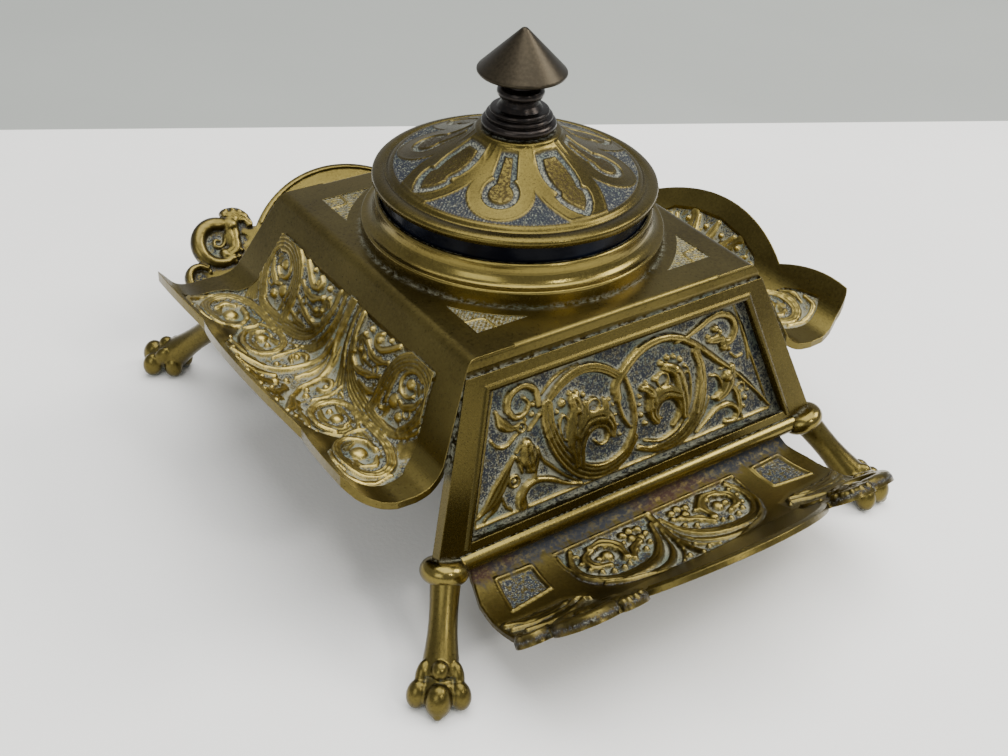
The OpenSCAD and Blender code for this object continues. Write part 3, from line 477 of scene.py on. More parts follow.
class Relief:
    """Chased ornament as heights over a flat raster: u across, v along, h above its ground.

    twins are the signs of u and v under which every stroke is repeated. field is 1 where the
    sheet is sunk, by sink, and its ground is dirty, punch is 1 where it is stippled, chalk is 1
    where pale residue lies, and the stain mask is 1 where grime and rust darken the metal and
    stand in for painted shadow as well.
    """

    def __init__(self, low, high, cell, twins=((1, 1),), sink=0.0):
        self.low = np.asarray(low, float)
        self.cell = cell
        count = np.ceil((np.asarray(high) - self.low) / cell).astype(int) + 1
        self.u, self.v = np.meshgrid(*(a + cell * np.arange(n) for a, n in zip(self.low, count)),
                                     indexing="ij")
        self.h = np.zeros_like(self.u)
        self.field = np.ones_like(self.u)
        self.punch = np.zeros_like(self.u)
        self.chalk = np.zeros_like(self.u)
        self.stain_and_shadow = np.zeros_like(self.u)
        self.twins = twins
        self.sink = sink

    def measure(self, path, reach):
        """The mask of the cells near a polyline, with their distance, side (+1 left) and share."""
        lo, hi = path.min(0) - reach, path.max(0) + reach
        near = (self.u > lo[0]) & (self.u < hi[0]) & (self.v > lo[1]) & (self.v < hi[1])
        x, y = self.u[near], self.v[near]
        best = np.full(x.shape, 1e9)
        side = np.zeros(x.shape)
        share = np.zeros(x.shape)
        lengths = np.hypot(*np.diff(path, axis=0).T)
        run, total = 0.0, lengths.sum()
        for a, b, length in zip(path, path[1:], lengths):
            dx, dy = b - a
            t = np.clip(((x - a[0]) * dx + (y - a[1]) * dy) / max(length * length, 1e-9), 0, 1)
            ex, ey = x - a[0] - t * dx, y - a[1] - t * dy
            d = ex * ex + ey * ey
            closer = d < best
            best[closer] = d[closer]
            side[closer] = np.sign(dx * ey - dy * ex)[closer]
            share[closer] = ((run + t * length) / total)[closer]
            run += length
        return near, np.sqrt(best), side, share

    def paint(self, points, width, shape):
        """Raises the sheet along a curve and its twins.

        width is one number, or those at the start, middle and end. shape gives the height from
        the place across (-1..1), the share of the way along, and the width there.
        """
        w0, w1, w2 = width if isinstance(width, tuple) else (width, width, width)
        for su, sv in self.twins:
            path = spline(np.asarray(points, float) * (su, sv))
            near, distance, side, share = self.measure(path, max(w0, w1, w2) + 0.5)
            w = np.where(share < 0.5, w0 + (w1 - w0) * soft_step(share, 0, 0.5),
                         w1 + (w2 - w1) * soft_step(share, 0.5, 1))
            across = distance / np.maximum(w, 1e-6)
            h = shape(np.clip(across, 0, 1) * side * su * sv, share, w)
            self.h[near] = np.maximum(self.h[near], np.where(across < 1, h, -1))

    def wire(self, points, width, height):
        """A half-round line."""
        self.paint(points, width, lambda a, s, w: height * np.sqrt(np.maximum(0, 1 - a * a)))

    def ribbed(self, points, width, height, ribs):
        """A flat band that carries ribs along its length."""
        def shape(a, s, w):
            rim = soft_step((1 - np.abs(a)) * w, 0, 0.45)
            rib = np.abs(np.sin((a + 1) / 2 * np.pi * ribs)) ** 0.7
            return height * rim * (0.70 + 0.30 * rib)
        self.paint(points, width, shape)

    def leaf(self, points, width, height, lobes=0):
        """A leaf with a rounded body, a sunk vein, and a lobed edge where lobes are given."""
        def shape(a, s, w):
            edge = 1 - 0.28 * np.abs(np.sin(np.pi * lobes * s)) if lobes else 1.0
            b = np.clip(np.abs(a) / edge, 0, 1)
            vein = 1 - 0.20 * np.exp(-(a * w / 0.28) ** 2)
            return height * np.sqrt(np.maximum(0, 1 - b**2.4)) * vein
        self.paint(points, width, shape)

    def bead(self, x, y, r, height):
        """A round boss."""
        self.wire([(x, y), (x + 0.01, y)], r, height)

    def beads(self, height, *rows):
        """Round bosses of one height, each given by its place and radius."""
        for x, y, r in rows:
            self.bead(x, y, r, height)

    def ring(self, x, y, r, width, height, r2=None):
        """A raised ring, or an oval one where r2 gives its other radius."""
        turn = np.linspace(0, 2 * np.pi, 13)
        self.wire([(x + r * np.cos(t), y + (r2 or r) * np.sin(t)) for t in turn], width, height)

    def pit(self, x, y, r, depth=0.0):
        """Sinks a round eye down to the ground."""
        for su, sv in self.twins:
            d = np.hypot(self.u - x * su, self.v - y * sv)
            floor = self.h.max() * soft_step(d, 0.55 * r, r) + depth
            self.h = np.where(d < r, np.minimum(self.h, floor), self.h)

    def dirt_spot(self, x, y, r):
        """Marks a round hollow between the forms as dirty ground."""
        for su, sv in self.twins:
            spot = 1 - soft_step(np.hypot(self.u - x * su, self.v - y * sv), 0.7 * r, 1.3 * r)
            self.field = np.maximum(self.field, spot)

    def share_inside(self, outline, soft=0.25):
        """1 inside a closed outline and on its twins, 0 outside, with a soft wall between."""
        share = np.zeros_like(self.u)
        for su, sv in self.twins:
            distance = inside(np.asarray(outline) * (su, sv), self.u, self.v)
            share = np.maximum(share, soft_step(distance, -soft / 2, soft / 2))
        return share

    def texture(self, amount, seed):
        """Small uneven swells from hand chasing."""
        rng = np.random.default_rng(seed)
        swell = np.zeros_like(self.u)
        for _ in range(14):
            f = rng.uniform(0.6, 2.6, 2) * rng.choice([-1, 1], 2)
            swell += np.sin(self.u * f[0] + self.v * f[1] + rng.uniform(0, 6.3))
        self.h = self.h + amount * swell / 5 * soft_step(self.h, 0.02, 0.5)

    def layers(self):
        """The raised surface, and the masks that the material reads, each as a raster."""
        h = self.h - self.sink * self.field
        mean = blur(h, FORM_REACH / self.cell)
        ground = (1 - soft_step(self.h, GROUND_LOW, GROUND_HIGH)) * self.field
        hollow = soft_step(mean - h, 0.03, 0.30) * (1 - ground)
        crest = soft_step(h - mean, 0.10, 0.42)
        near = blur(soft_step(self.h, 0.1, 0.4), FORM_REACH / self.cell)
        pale = ground * np.maximum(soft_step(near, 0.12, 0.60), self.chalk)
        masks = zip(MASKS, (ground, hollow, crest, pale, self.punch, self.stain_and_shadow))
        return {"h": h, **dict(masks)}

    def sample(self, layer, u, v):
        """Bilinear value of a layer at any points."""
        x, y = (u - self.low[0]) / self.cell, (v - self.low[1]) / self.cell
        i = np.clip(np.floor(x).astype(int), 0, layer.shape[0] - 2)
        j = np.clip(np.floor(y).astype(int), 0, layer.shape[1] - 2)
        x, y = np.clip(x - i, 0, 1), np.clip(y - j, 0, 1)
        return ((layer[i, j] * (1 - x) + layer[i + 1, j] * x) * (1 - y)
                + (layer[i, j + 1] * (1 - x) + layer[i + 1, j + 1] * x) * y)


def closed_rim(outline, step):
    """Points evenly spaced round a closed outline, anticlockwise."""
    loop = np.vstack([outline, outline[:1]])
    run = np.r_[0, np.cumsum(np.hypot(*np.diff(loop, axis=0).T))]
    t = np.linspace(0, run[-1], int(run[-1] / step) + 1)[:-1]
    rim = np.stack([np.interp(t, run, loop[:, 0]), np.interp(t, run, loop[:, 1])], -1)
    x, y = rim.T
    area = np.sum(x * np.roll(y, -1) - y * np.roll(x, -1))
    return rim if area > 0 else rim[::-1]


def fill(rim, outline, cell):
    """Points, triangles and depth of the points inside a rim, whose own points come first."""
    low, high = rim.min(0), rim.max(0)
    u, v = np.meshgrid(*(np.arange(a, b, cell) for a, b in zip(low, high)), indexing="ij")
    depth = inside(outline, u, v)
    keep = depth > 0.7 * cell
    points = np.vstack([rim, np.stack([u[keep], v[keep]], -1)])
    loop = list(range(len(rim)))
    edges = list(zip(loop, loop[1:] + loop[:1]))
    done = delaunay_2d_cdt([Vector(p) for p in points], edges, [loop], 1, 1e-6)
    triangles = np.asarray(done[2])
    a, b, c = (points[triangles[:, k]] for k in range(3))
    turn = (b[:, 0] - a[:, 0]) * (c[:, 1] - a[:, 1]) - (b[:, 1] - a[:, 1]) * (c[:, 0] - a[:, 0])
    triangles[turn < 0] = triangles[turn < 0][:, ::-1]
    return points, triangles, np.r_[np.zeros(len(rim)), depth[keep]]


def sheet(name, outline, relief, place, thickness, cell, material, level=0, round_off=0):
    """A closed sheet of the stand with a relief on its front.

    place(u, v, h) turns the flat sheet into points, level shifts its front, and round_off is how
    far the front falls at its rim.
    """
    rim = closed_rim(outline, cell * 1.2)
    front, faces, depth = fill(rim, outline, cell)
    back, back_faces, _ = fill(rim, outline, 6 * cell)  # plain, so it needs few points
    layers = relief.layers()
    masks = {key: relief.sample(layer, *front.T) for key, layer in layers.items()}
    near_rim = 1 - np.clip(depth / max(1.6 * round_off, 1e-6), 0, 1)
    fall = round_off * (1 - np.sqrt(1 - near_rim ** 2))
    h = masks.pop("h") + level - fall
    n, count = len(front), len(rim)
    points = np.vstack([place(*front.T, h), place(*back.T, np.full(len(back), level - thickness))])
    loop = np.arange(count)
    ahead = np.roll(loop, -1)
    walls = np.stack([loop, loop + n, ahead + n, ahead], -1)
    all_faces = faces.tolist() + (back_faces[:, ::-1] + n).tolist() + walls.tolist()
    sharp = np.vstack([np.stack([loop, ahead], -1), np.stack([loop, ahead], -1) + n])
    attributes = {key: np.r_[values, np.zeros(len(back))] for key, values in masks.items()}
    return make_object(name, points, all_faces, material, attributes=attributes, sharp=sharp)


# The twins of a relief whose left half mirrors its right half
EVEN = ((1, 1), (-1, 1))


# ---------------------------------------------------------------- the face panels

# The face leans out from the edge of the top plate to the rail; w is out of the face
TOP_Z = 64.0
TOP_HALF_Y = 44.2
RAIL_Y, RAIL_Z = 58.5, 20.4
FACE_LEAN = math.atan2(RAIL_Y - TOP_HALF_Y, TOP_Z - RAIL_Z)
PANEL_W = -2.4
PANEL_T = 1.8
PANEL_TOP, PANEL_BOTTOM = -5.4, -42.2
PANEL_HALF, PANEL_FLARE, PANEL_LAP = 36.7, 0.31, 0.8


def face_point(u, v, w):
    """A point of the front face: u along the rail, v up the slope from the top edge, w outward."""
    return np.stack([
        u + 0 * v,
        -TOP_HALF_Y + v * math.sin(FACE_LEAN) - w * math.cos(FACE_LEAN),
        TOP_Z + v * math.cos(FACE_LEAN) + w * math.sin(FACE_LEAN),
    ], -1)


def panel_half(v):
    """Half width of the panel at height v, behind the lap of the frame."""
    return PANEL_HALF - PANEL_FLARE * v + PANEL_LAP


def carve_panel(r):
    """Two facing acanthus spirals on a long S-shaped stem, with curls and buds in the corners."""
    tall = 1.25
    # thin raised border
    for side in (-1, 1):
        r.wire([(side * 36, -8.9), (side * 40.5, -23), (side * 45.6, -39.4)], 0.40, 0.55)
    r.wire([(-36, -8.9), (0, -8.9), (36, -8.9)], 0.40, 0.55)
    r.wire([(-45.6, -39.9), (0, -39.9), (45.6, -39.9)], 0.55, 0.75)
    # the stem: up between the spirals, over the right one and down to the corner
    r.wire([(-2.4, -22), (-2.3, -18.5), (0.6, -15.6), (4.6, -12.9), (9, -11.5), (13.5, -11.5),
            (18, -12.9), (22, -15.4), (26, -18.8), (30, -22.5), (34, -26), (38, -30.2), (42, -34.6),
            (45.5, -39)], (1.5, 1.15, 0.45), tall)
    r.wire([(-2.3, -19), (-2.5, -22.5), (-1.7, -26.5), (0.2, -30)], (1, 0.9, 0.6), tall)
    r.wire([(0.3, -17.5), (1.4, -21), (2.1, -25.5), (1.9, -29.5), (0.6, -33), (-2, -36)],
           (0.9, 1, 1.2), tall)
    r.wire([(-2.2, -16.8), (0.6, -14.2), (4.6, -11.4)], (0.4, 0.45, 0.3), 0.8)
    # left spiral
    r.ribbed([(-22.6, -17.3), (-22.7, -21.5), (-21.6, -26.5), (-19.4, -31), (-16, -35.2),
              (-11.5, -37.7), (-6.5, -38), (-2, -36.4), (1, -33.2)], (1.8, 2.3, 1.6), tall, 4)
    r.ribbed([(-1.6, -16.4), (-4.8, -13.9), (-8.8, -12.1), (-13, -11.8), (-17, -12.9),
              (-20.6, -15.2), (-24, -18.2), (-28, -21.4)], (1.3, 1.45, 0.7), 1.05, 3)
    r.wire([(-23.4, -14.3), (-20.2, -11.9), (-16.2, -10.4), (-12.5, -10.2)], (0.4, 0.55, 0.3), 0.6)
    r.wire([(-26.3, -26.6), (-25.4, -29.6), (-22.8, -32.6), (-19.6, -35.9), (-15.5, -38.9)],
           (0.5, 0.6, 0.6), 0.8)
    r.wire([(-14.6, -34.6), (-14.2, -31), (-12.6, -28), (-9.8, -26.6), (-7.2, -27.4), (-6.3, -29.4),
            (-7.2, -31.2), (-9.2, -31.3), (-10.4, -30)], (1.1, 0.95, 0.45), 1.35)
    r.leaf([(-16.2, -34), (-16.2, -29), (-15.2, -24.6), (-14.5, -20.8), (-15, -18.2)],
           (1.4, 3.1, 1.9), 1.7)
    r.leaf([(-15, -27), (-12, -24.4), (-8.6, -24.3), (-6, -25.7), (-4.9, -28.2), (-5.2, -30.2)],
           (2.2, 2.6, 0.9), 1.85)
    r.leaf([(-12.4, -24.5), (-12.4, -21.8), (-12, -20)], (1.9, 1.5, 0.9), 1.6)
    r.leaf([(-7.4, -24.6), (-6.4, -22.6), (-6.6, -21)], (1.8, 1.4, 0.8), 1.6)
    r.bead(-6.9, -25.2, 1.5, 1.95)
    r.bead(-14.4, -21, 1.5, 1.9)
    r.bead(-12.4, -26.9, 1.2, 1.6)
    r.beads(1.1, (-18.2, -18.2, 1.25), (-15.9, -16.4, 0.8), (-14, -17, 0.95), (-12.2, -18, 0.9),
            (-20, -19.7, 0.8), (-4.1, -23, 0.6), (-3.6, -25.6, 0.6), (-3.4, -28.3, 0.6),
            (-2.8, -31, 0.6), (-5, -21.4, 0.7))
    r.ring(-9.8, -21.4, 1.75, 0.5, 1.35)
    r.pit(-9.8, -21.4, 1.35, 0.25)
    r.ring(-18.5, -24.1, 1.25, 0.5, 1.15, 3.1)
    r.pit(-9, -29.3, 1.25)
    # curl in the top left corner
    r.wire([(-24.6, -16.4), (-25.2, -12.6), (-28.3, -10.6), (-31.8, -11.8), (-33, -14.8),
            (-31.4, -17.4), (-28.6, -17.2), (-27.3, -15.2), (-28.4, -13.4)], (1, 1.15, 0.55), 1.2)
    r.leaf([(-36.2, -14.6), (-35, -17.6), (-33, -19.4), (-31.2, -19.8)], (0.5, 1.6, 0.8), 1.1)
    r.beads(1.15, (-26.3, -15.8, 0.85), (-26.8, -18, 0.9), (-29, -18.6, 0.8), (-25.2, -18.8, 0.6))
    r.ring(-30.1, -20.1, 1.15, 0.42, 1.1)
    r.bead(-30.1, -20.1, 0.6, 0.9)
    r.wire([(-38.4, -20.8), (-36.8, -22.9), (-34.4, -23.4), (-31.8, -21.8), (-28.6, -20.6)],
           (0.4, 0.6, 0.5), 0.7)
    # bud at the left
    r.leaf([(-29.4, -24.9), (-29.3, -27.8), (-29, -30.4)], (1.9, 2.5, 1.7), 1.75)
    r.wire([(-32.2, -25.6), (-30.6, -24.2), (-28.8, -24.2), (-27.4, -25.6)], 0.5, 1.2)
    r.wire([(-27.2, -26.2), (-26.7, -28.4), (-27.5, -30.8), (-28.2, -33.2)], (0.5, 0.8, 0.7), 1.1)
    r.wire([(-32.6, -26.6), (-31.6, -28.6), (-31.3, -31)], (0.5, 0.75, 0.4), 1)
    r.ring(-33.8, -32.3, 1.35, 0.5, 1.05)
    r.bead(-33.8, -32.3, 0.85, 1.15)
    r.ribbed([(-44.4, -37.6), (-40.6, -35.3), (-37.2, -31.8), (-34.6, -28.4), (-33.2, -26.8)],
             (0.8, 2, 0.8), 0.85, 3)
    r.ribbed([(-43, -39), (-39.5, -36.9), (-36.8, -33.4)], (0.5, 1, 0.5), 0.6, 2)
    r.wire([(-15.5, -39.3), (-19.5, -37.8), (-23.5, -35.5), (-27.3, -34.2), (-30.2, -34.6),
            (-32.2, -36.5), (-32.4, -39)], (0.5, 0.9, 1.6), 1.2)
    r.wire([(-37.4, -35.4), (-36.8, -37.6), (-35.4, -38.9)], 0.45, 0.7)
    # right spiral
    r.ribbed([(2.4, -36.4), (6.5, -38), (12, -38.4), (17, -36.9), (20.8, -33.6), (22.8, -29.6),
              (23.7, -25), (23.6, -21), (22.4, -17.4)], (1, 2.2, 1.3), tall, 4)
    r.leaf([(21, -33), (22.3, -29.4), (23.2, -25.6), (23.2, -22.4)], (0.6, 0.9, 0.5), 1.6)
    r.wire([(4.6, -35.2), (9, -36.6), (14, -35.6), (17.6, -32.6), (19.5, -28.5), (20, -24),
            (19.4, -20.6)], (0.5, 0.75, 0.5), 1.2)
    r.wire([(13.6, -34), (15.8, -31.6), (15.9, -28.9), (14, -26.8), (11, -26.6), (9.2, -28.2),
            (8.9, -30), (10, -31)], (0.8, 0.95, 0.5), 1.35)
    r.leaf([(17.2, -32.5), (17.4, -28.5), (16.7, -24.5), (15.9, -21.2), (14.4, -19.6),
            (12.8, -18.8)], (1.3, 2.6, 1.6), 1.7)
    r.leaf([(16, -26.6), (12.5, -25), (9.5, -25.3), (7.6, -26.9), (7.2, -29.2), (8.4, -31.2)],
           (1.8, 2.7, 1.2), 1.8)
    r.leaf([(7.6, -27), (7.5, -24.2), (6.4, -22.4), (5.2, -21.8)], (2.1, 1.9, 1.1), 1.85)
    r.bead(15.6, -20.2, 1.5, 1.95)
    r.bead(7.3, -24.2, 1.4, 2)
    r.beads(1.2, (4.1, -23.6, 0.8), (3.8, -25.6, 0.7), (4, -28.3, 0.95), (5.1, -30.8, 0.85),
            (9.3, -20.8, 1), (11.5, -17.4, 0.95), (13.6, -16.6, 0.9), (15.6, -16.9, 0.8),
            (17.5, -18.2, 1), (18.8, -20.2, 0.7), (6.4, -20.9, 0.7))
    r.ring(11.3, -21.5, 1.75, 0.5, 1.35)
    r.pit(11.3, -21.5, 1.3, 0.25)
    r.ring(19, -25, 0.9, 0.4, 1.05, 3.4)
    r.pit(11.8, -29.2, 1.4)
    # curl in the top right corner
    r.wire([(16.5, -13.6), (20, -13.2), (24.5, -11.9), (28.4, -10.5), (32.2, -10.6), (35.2, -12.6),
            (35.9, -15.8), (34, -18.2), (31.2, -17.9)], (0.5, 1.25, 1.2), 1.15)
    r.leaf([(27.2, -16.2), (29.4, -16.4), (31.4, -16.8)], (0.9, 1.5, 0.9), 1.4)
    r.bead(29.2, -13.6, 1.25, 1.7)
    r.bead(30.6, -14.9, 1, 1.4)
    r.bead(31.7, -19.1, 1.35, 1.5)
    r.bead(33.3, -20, 0.8, 1.2)
    r.bead(27, -15.2, 0.8, 1.1)
    r.wire([(34.2, -21.6), (35.6, -23), (37.8, -22.8)], 0.4, 0.7)
    r.wire([(37, -11.6), (38.6, -16), (39.6, -20.5), (39.8, -24.5)], (0.4, 0.8, 0.4), 0.5)
    # bud and hook at the right
    r.bead(32.1, -27, 2.1, 1.9)
    r.leaf([(33.8, -25.2), (32.4, -28.6), (30.6, -30.8), (28.6, -31.6)], (1.3, 2.5, 1.3), 1.5)
    r.wire([(26.6, -25.2), (28.8, -25.9), (29.9, -28), (29.5, -30.4), (27, -31.4)],
           (0.45, 0.7, 0.5), 1.05)
    r.wire([(30, -24.4), (32.2, -24.2), (34.4, -25.6), (34.8, -28)], 0.5, 1.1)
    r.leaf([(33.4, -29.8), (35, -32.4), (35.4, -35.2), (35.6, -37.6)], (0.8, 1.3, 0.8), 1.15)
    r.ring(36.2, -31.2, 1.2, 0.45, 1.05)
    r.beads(1, (37.7, -34.6, 0.9), (36.9, -36.7, 0.85), (35.9, -38.8, 0.75), (38.6, -32.6, 0.6))
    r.wire([(20.6, -38.4), (24.4, -36.2), (28, -34.5), (31.2, -34.3), (33.8, -35.7), (34.6, -37.6),
            (33.2, -39.2), (30.6, -38.9)], (0.5, 1, 0.8), 1.25)
    r.wire([(25.9, -30.8), (23.9, -34.2), (20.4, -37.6)], 0.4, 0.7)
    r.wire([(36.6, -27.6), (40.2, -31.8), (43.6, -37.2)], 0.4, 0.6)
    r.texture(0.05, 3)


def make_panels(material):
    """The relief panels behind the two frames."""
    cell = 0.24
    top, bottom = panel_half(PANEL_TOP), panel_half(PANEL_BOTTOM)
    outline = np.array([(-bottom, PANEL_BOTTOM), (bottom, PANEL_BOTTOM),
                        (top, PANEL_TOP), (-top, PANEL_TOP)])
    relief = Relief(outline.min(0) - 0.5, outline.max(0) + 0.5, cell * 0.85)
    carve_panel(relief)

    def place(u, v, h):
        return face_point(u, v, PANEL_W + h)

    front = sheet("front_panel_relief", outline, relief, place, PANEL_T, cell, material)
    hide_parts("front_panel")
    back = opposite(front, "back_panel_relief")
    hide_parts("back_panel")


# ---------------------------------------------------------------- the trough wings

# Section of a wing: a slope, a bend at the foot, a flat floor, a wider bend, and a lip.
# The lengths are measured down its upper face from the edge of the top plate.
PLATE_HALF_X = 42.0
WING_DROP, WING_RISE = math.radians(64), math.radians(52.5)
INNER_R, OUTER_R = 7.0, 11.0
SLOPE_LEN, BEND1_END, FLOOR_END, BEND2_END = 22.66, 30.48, 35.63, 45.71
WING_SINK, WING_LIFT, WING_SHEET_T = 0.7, 0.08, 0.5


def bow(a, b, c, steps=8):
    """A smooth curve through three points, the middle one reached half way."""
    a, b, c = (np.asarray(p, float) for p in (a, b, c))
    k = 2 * b - (a + c) / 2
    t = np.linspace(0, 1, steps + 1)[:, None]
    return [tuple(p) for p in (1 - t)**2 * a + 2 * t * (1 - t) * k + t * t * c]


def wing_point(u, s, h):
    """A point of the right wing: u across it, s down its upper face, h above it."""
    slope = np.minimum(s, SLOPE_LEN)
    turn_in = np.clip((s - SLOPE_LEN) / INNER_R, 0, WING_DROP)
    flat = np.clip(s - BEND1_END, 0, FLOOR_END - BEND1_END)
    turn_out = np.clip((s - FLOOR_END) / OUTER_R, 0, WING_RISE)
    lip = np.maximum(s - BEND2_END, 0)
    heading = turn_in + turn_out - WING_DROP
    down = WING_DROP - turn_in
    x = (PLATE_HALF_X + slope * math.cos(WING_DROP) + INNER_R * (math.sin(WING_DROP) - np.sin(down))
         + flat + OUTER_R * np.sin(turn_out) + lip * math.cos(WING_RISE))
    z = (TOP_Z - slope * math.sin(WING_DROP) - INNER_R * (np.cos(down) - math.cos(WING_DROP))
         + OUTER_R * (1 - np.cos(turn_out)) + lip * math.sin(WING_RISE))
    return np.stack([x - h * np.sin(heading), -u, z + h * np.cos(heading)], -1)


def wing_field():
    """Outline of the sunk field of a wing, as (half depth, along the face)."""
    half = [(0, 7.7), (36.2, 7.7)] + bow((36.3, 8), (38.7, 19), (42.9, 29), 4)
    half += bow((44.9, 31), (45.8, 38), (42.3, 46.2), 5) + [(36, 45.4), (31.4, 43.4)]
    half += bow((26.4, 36.9), (24.8, 38.4), (17.2, 46.4), 4) + [(10, 49), (0, 50.4)]
    return both_sides(half)


def carve_wing(r):
    """A leafy scroll on each side of a stem, over a middle lobe of hanging leaves."""
    tall = 1.35
    # low ribbed beds under the scrolls
    r.ribbed([(3.4, 8), (4.4, 15), (6.8, 21.5), (11.5, 26), (18, 28), (27, 28.9), (36, 28),
              (41.4, 23)], (2.2, 4.2, 2.4), 0.55, 8)
    r.ribbed([(24, 24), (25.2, 16), (28, 12), (32.5, 12), (35.3, 16), (33, 22)], (3, 3.2, 2.4),
             0.55, 4)
    r.ribbed([(23, 13), (18, 15.5), (13, 16.5), (9, 15)], (2.6, 3.8, 2.6), 0.6, 5)
    r.ribbed([(22, 20.5), (17, 21.6), (12.4, 21)], (1.6, 2.6, 1.6), 0.55, 4)
    r.ribbed([(27, 33), (30, 38.4), (36.6, 39.2), (40.4, 35), (37, 30.6)], (1.8, 3, 1.8), 0.5, 4)
    r.ribbed([(13.4, 36), (18.5, 37.2), (23.5, 34.5), (22, 29.6)], (1.8, 2.6, 1.8), 0.5, 4)
    r.leaf([(1.2, 38.6), (6, 42.8), (9.6, 47.6)], (1.6, 3, 1.6), 0.5, 4)
    r.leaf([(9, 38.6), (15, 41.4), (20.4, 43.2)], (1.4, 2.6, 1.4), 0.5, 4)
    # the stem and the sprays at its foot
    r.wire([(0, 7), (0, 14), (0, 20)], (1.9, 1.6, 1), 1.2)
    r.wire([(0, 19), (1.5, 24), (3.5, 30), (4.5, 35), (7, 38.5)], (0.9, 1.2, 0.6), 1.15)
    r.wire([(2.2, 20), (2.6, 24), (2.2, 28)], (0.3, 0.5, 0.3), 0.8)
    r.bead(0, 39.5, 1.3, 1.5)
    r.bead(0, 36.5, 0.9, 1.2)
    r.leaf([(0, 24), (0, 29), (0, 34)], (0.5, 1.3, 0.4), 1.1)
    # the long ribbed band that runs out under the spirals
    r.ribbed([(5.5, 9), (5.8, 15), (8, 20.5), (12, 24.3), (18, 26), (26, 27), (33, 26), (38, 22.5),
              (40, 19)], (1, 2.3, 0.8), 1.1, 5)
    r.wire([(3.3, 9), (3.4, 14.5), (4.4, 19), (6.5, 23)], (0.5, 0.6, 0.3), 0.9)
    # the big spiral
    r.ribbed([(22, 25), (22.5, 17), (25, 11.5), (30, 8.6), (35, 9.3), (37.8, 12.5), (37.8, 17),
              (36.5, 21), (34, 24.5)], (1.8, 2.5, 1.5), tall, 5)
    r.wire([(34, 11.5), (31, 10.8), (28.4, 12.2), (27.3, 14.6), (28.5, 16.8), (31, 17.2),
            (33, 15.8)], (0.7, 0.9, 0.5), 1.3)
    r.bead(30.5, 14, 1.7, 1.45)
    r.bead(27.5, 20, 2, 1.5)
    r.bead(31, 22.3, 1.5, 1.4)
    r.ring(33.4, 20, 1.2, 0.42, 1.2)
    r.leaf([(29.5, 19), (31.5, 19.4), (34.5, 17.6), (35.8, 15)], (0.7, 1.3, 0.7), 1.35)
    r.leaf([(25.6, 13.5), (24.6, 17.5), (25.2, 21.5)], (0.5, 1.1, 0.6), 1.3)
    # the second leaf, curled over the stem of the spiral
    r.wire([(22, 9), (19, 11.5), (16.5, 13), (14, 12.5), (13.4, 10.6), (14.8, 9.6)], (1, 1.1, 0.6),
           1.25)
    r.bead(14.7, 11.3, 1.2, 1.45)
    r.leaf([(20.8, 14), (18, 15.2), (14.5, 15.4), (11.2, 13.6)], (0.9, 1.7, 0.9), 1.4, 3)
    r.leaf([(20, 18), (15.5, 20), (11, 20.8), (8.2, 19.4)], (0.8, 1.5, 0.7), 1.3, 3)
    r.leaf([(20.8, 22.2), (17.6, 23.2), (13.5, 22.6)], (0.6, 1.1, 0.5), 1.2)
    r.beads(1.15, (12, 17.2, 1), (9.6, 16.2, 0.9), (7.9, 17.8, 0.8), (10.4, 10.6, 0.9),
            (8.9, 12.6, 0.8), (18.4, 9.4, 0.8), (24.2, 23.6, 0.9), (36.6, 24.2, 0.8),
            (26.2, 9.6, 0.6))
    r.ring(17.6, 17.6, 0.9, 0.4, 1.1)
    # the lower outer scroll, in the pointed leaf
    r.ribbed([(20, 29.2), (28, 28.6), (35, 29), (40.5, 31.5), (42, 35.5), (39.5, 39.3), (34, 40.5),
              (29, 38.8), (27.2, 35.5), (30, 32.2), (34, 31.5)], (1.1, 1.5, 0.9), 1.2, 3)
    r.bead(33, 35.5, 2.2, 1.5)
    r.leaf([(36.2, 32.6), (38.6, 34.4), (37.6, 37.4)], (0.5, 1, 0.4), 1.2)
    r.leaf([(43.4, 33), (44, 38), (42.2, 43), (38, 44)], (0.5, 1.1, 0.5), 1, 3)
    r.leaf([(31, 41.6), (34.6, 42.8), (38.6, 42.2)], (0.4, 0.9, 0.4), 1)
    r.wire([(26.2, 29.4), (25.4, 32.4), (26, 35.2)], (0.4, 0.6, 0.4), 0.9)
    # the lower middle scroll
    r.ribbed([(25, 30.8), (19, 28.8), (14, 30), (12.3, 34), (14.5, 37.6), (19.5, 38.3), (23.5, 36)],
             (0.8, 1.3, 0.8), 1.15, 3)
    r.bead(19.5, 33.5, 1.9, 1.45)
    r.bead(16, 33.5, 0.9, 1.1)
    r.wire([(22.8, 33.2), (21.8, 31.2), (19.2, 30.8)], (0.4, 0.6, 0.4), 1)
    r.wire([(4, 29), (6.2, 27.8), (8.3, 29), (8.4, 31), (6.6, 31.6)], (0.6, 0.9, 0.5), 1.1)
    r.bead(7.4, 29.8, 1, 1.3)
    r.leaf([(9.8, 27), (10.6, 31), (10.2, 35)], (0.4, 1, 0.4), 1.1)
    r.beads(1, (14.2, 26.8, 0.7), (11.6, 28, 0.8), (5.6, 34, 0.8), (7.6, 35.2, 0.9),
            (22.5, 40.4, 0.8))
    # the hanging leaves of the middle lobe
    r.leaf([(0, 41), (0, 45), (0, 48.4)], (1.3, 1.5, 0.8), 1.2)
    r.leaf([(3, 38), (5.6, 43), (7.4, 47.2)], (0.8, 1.4, 0.7), 1.15)
    r.leaf([(7, 38.5), (11.6, 41), (14.6, 44.2)], (0.8, 1.4, 0.7), 1.15)
    r.leaf([(14, 40), (17.8, 40.4), (20.6, 41.2)], (0.5, 1, 0.5), 1)
    r.beads(1.05, (3.2, 45.6, 0.9), (10.4, 45, 0.9), (2.6, 41.6, 0.7), (16.4, 42.6, 0.7))
    r.texture(0.06, 5)


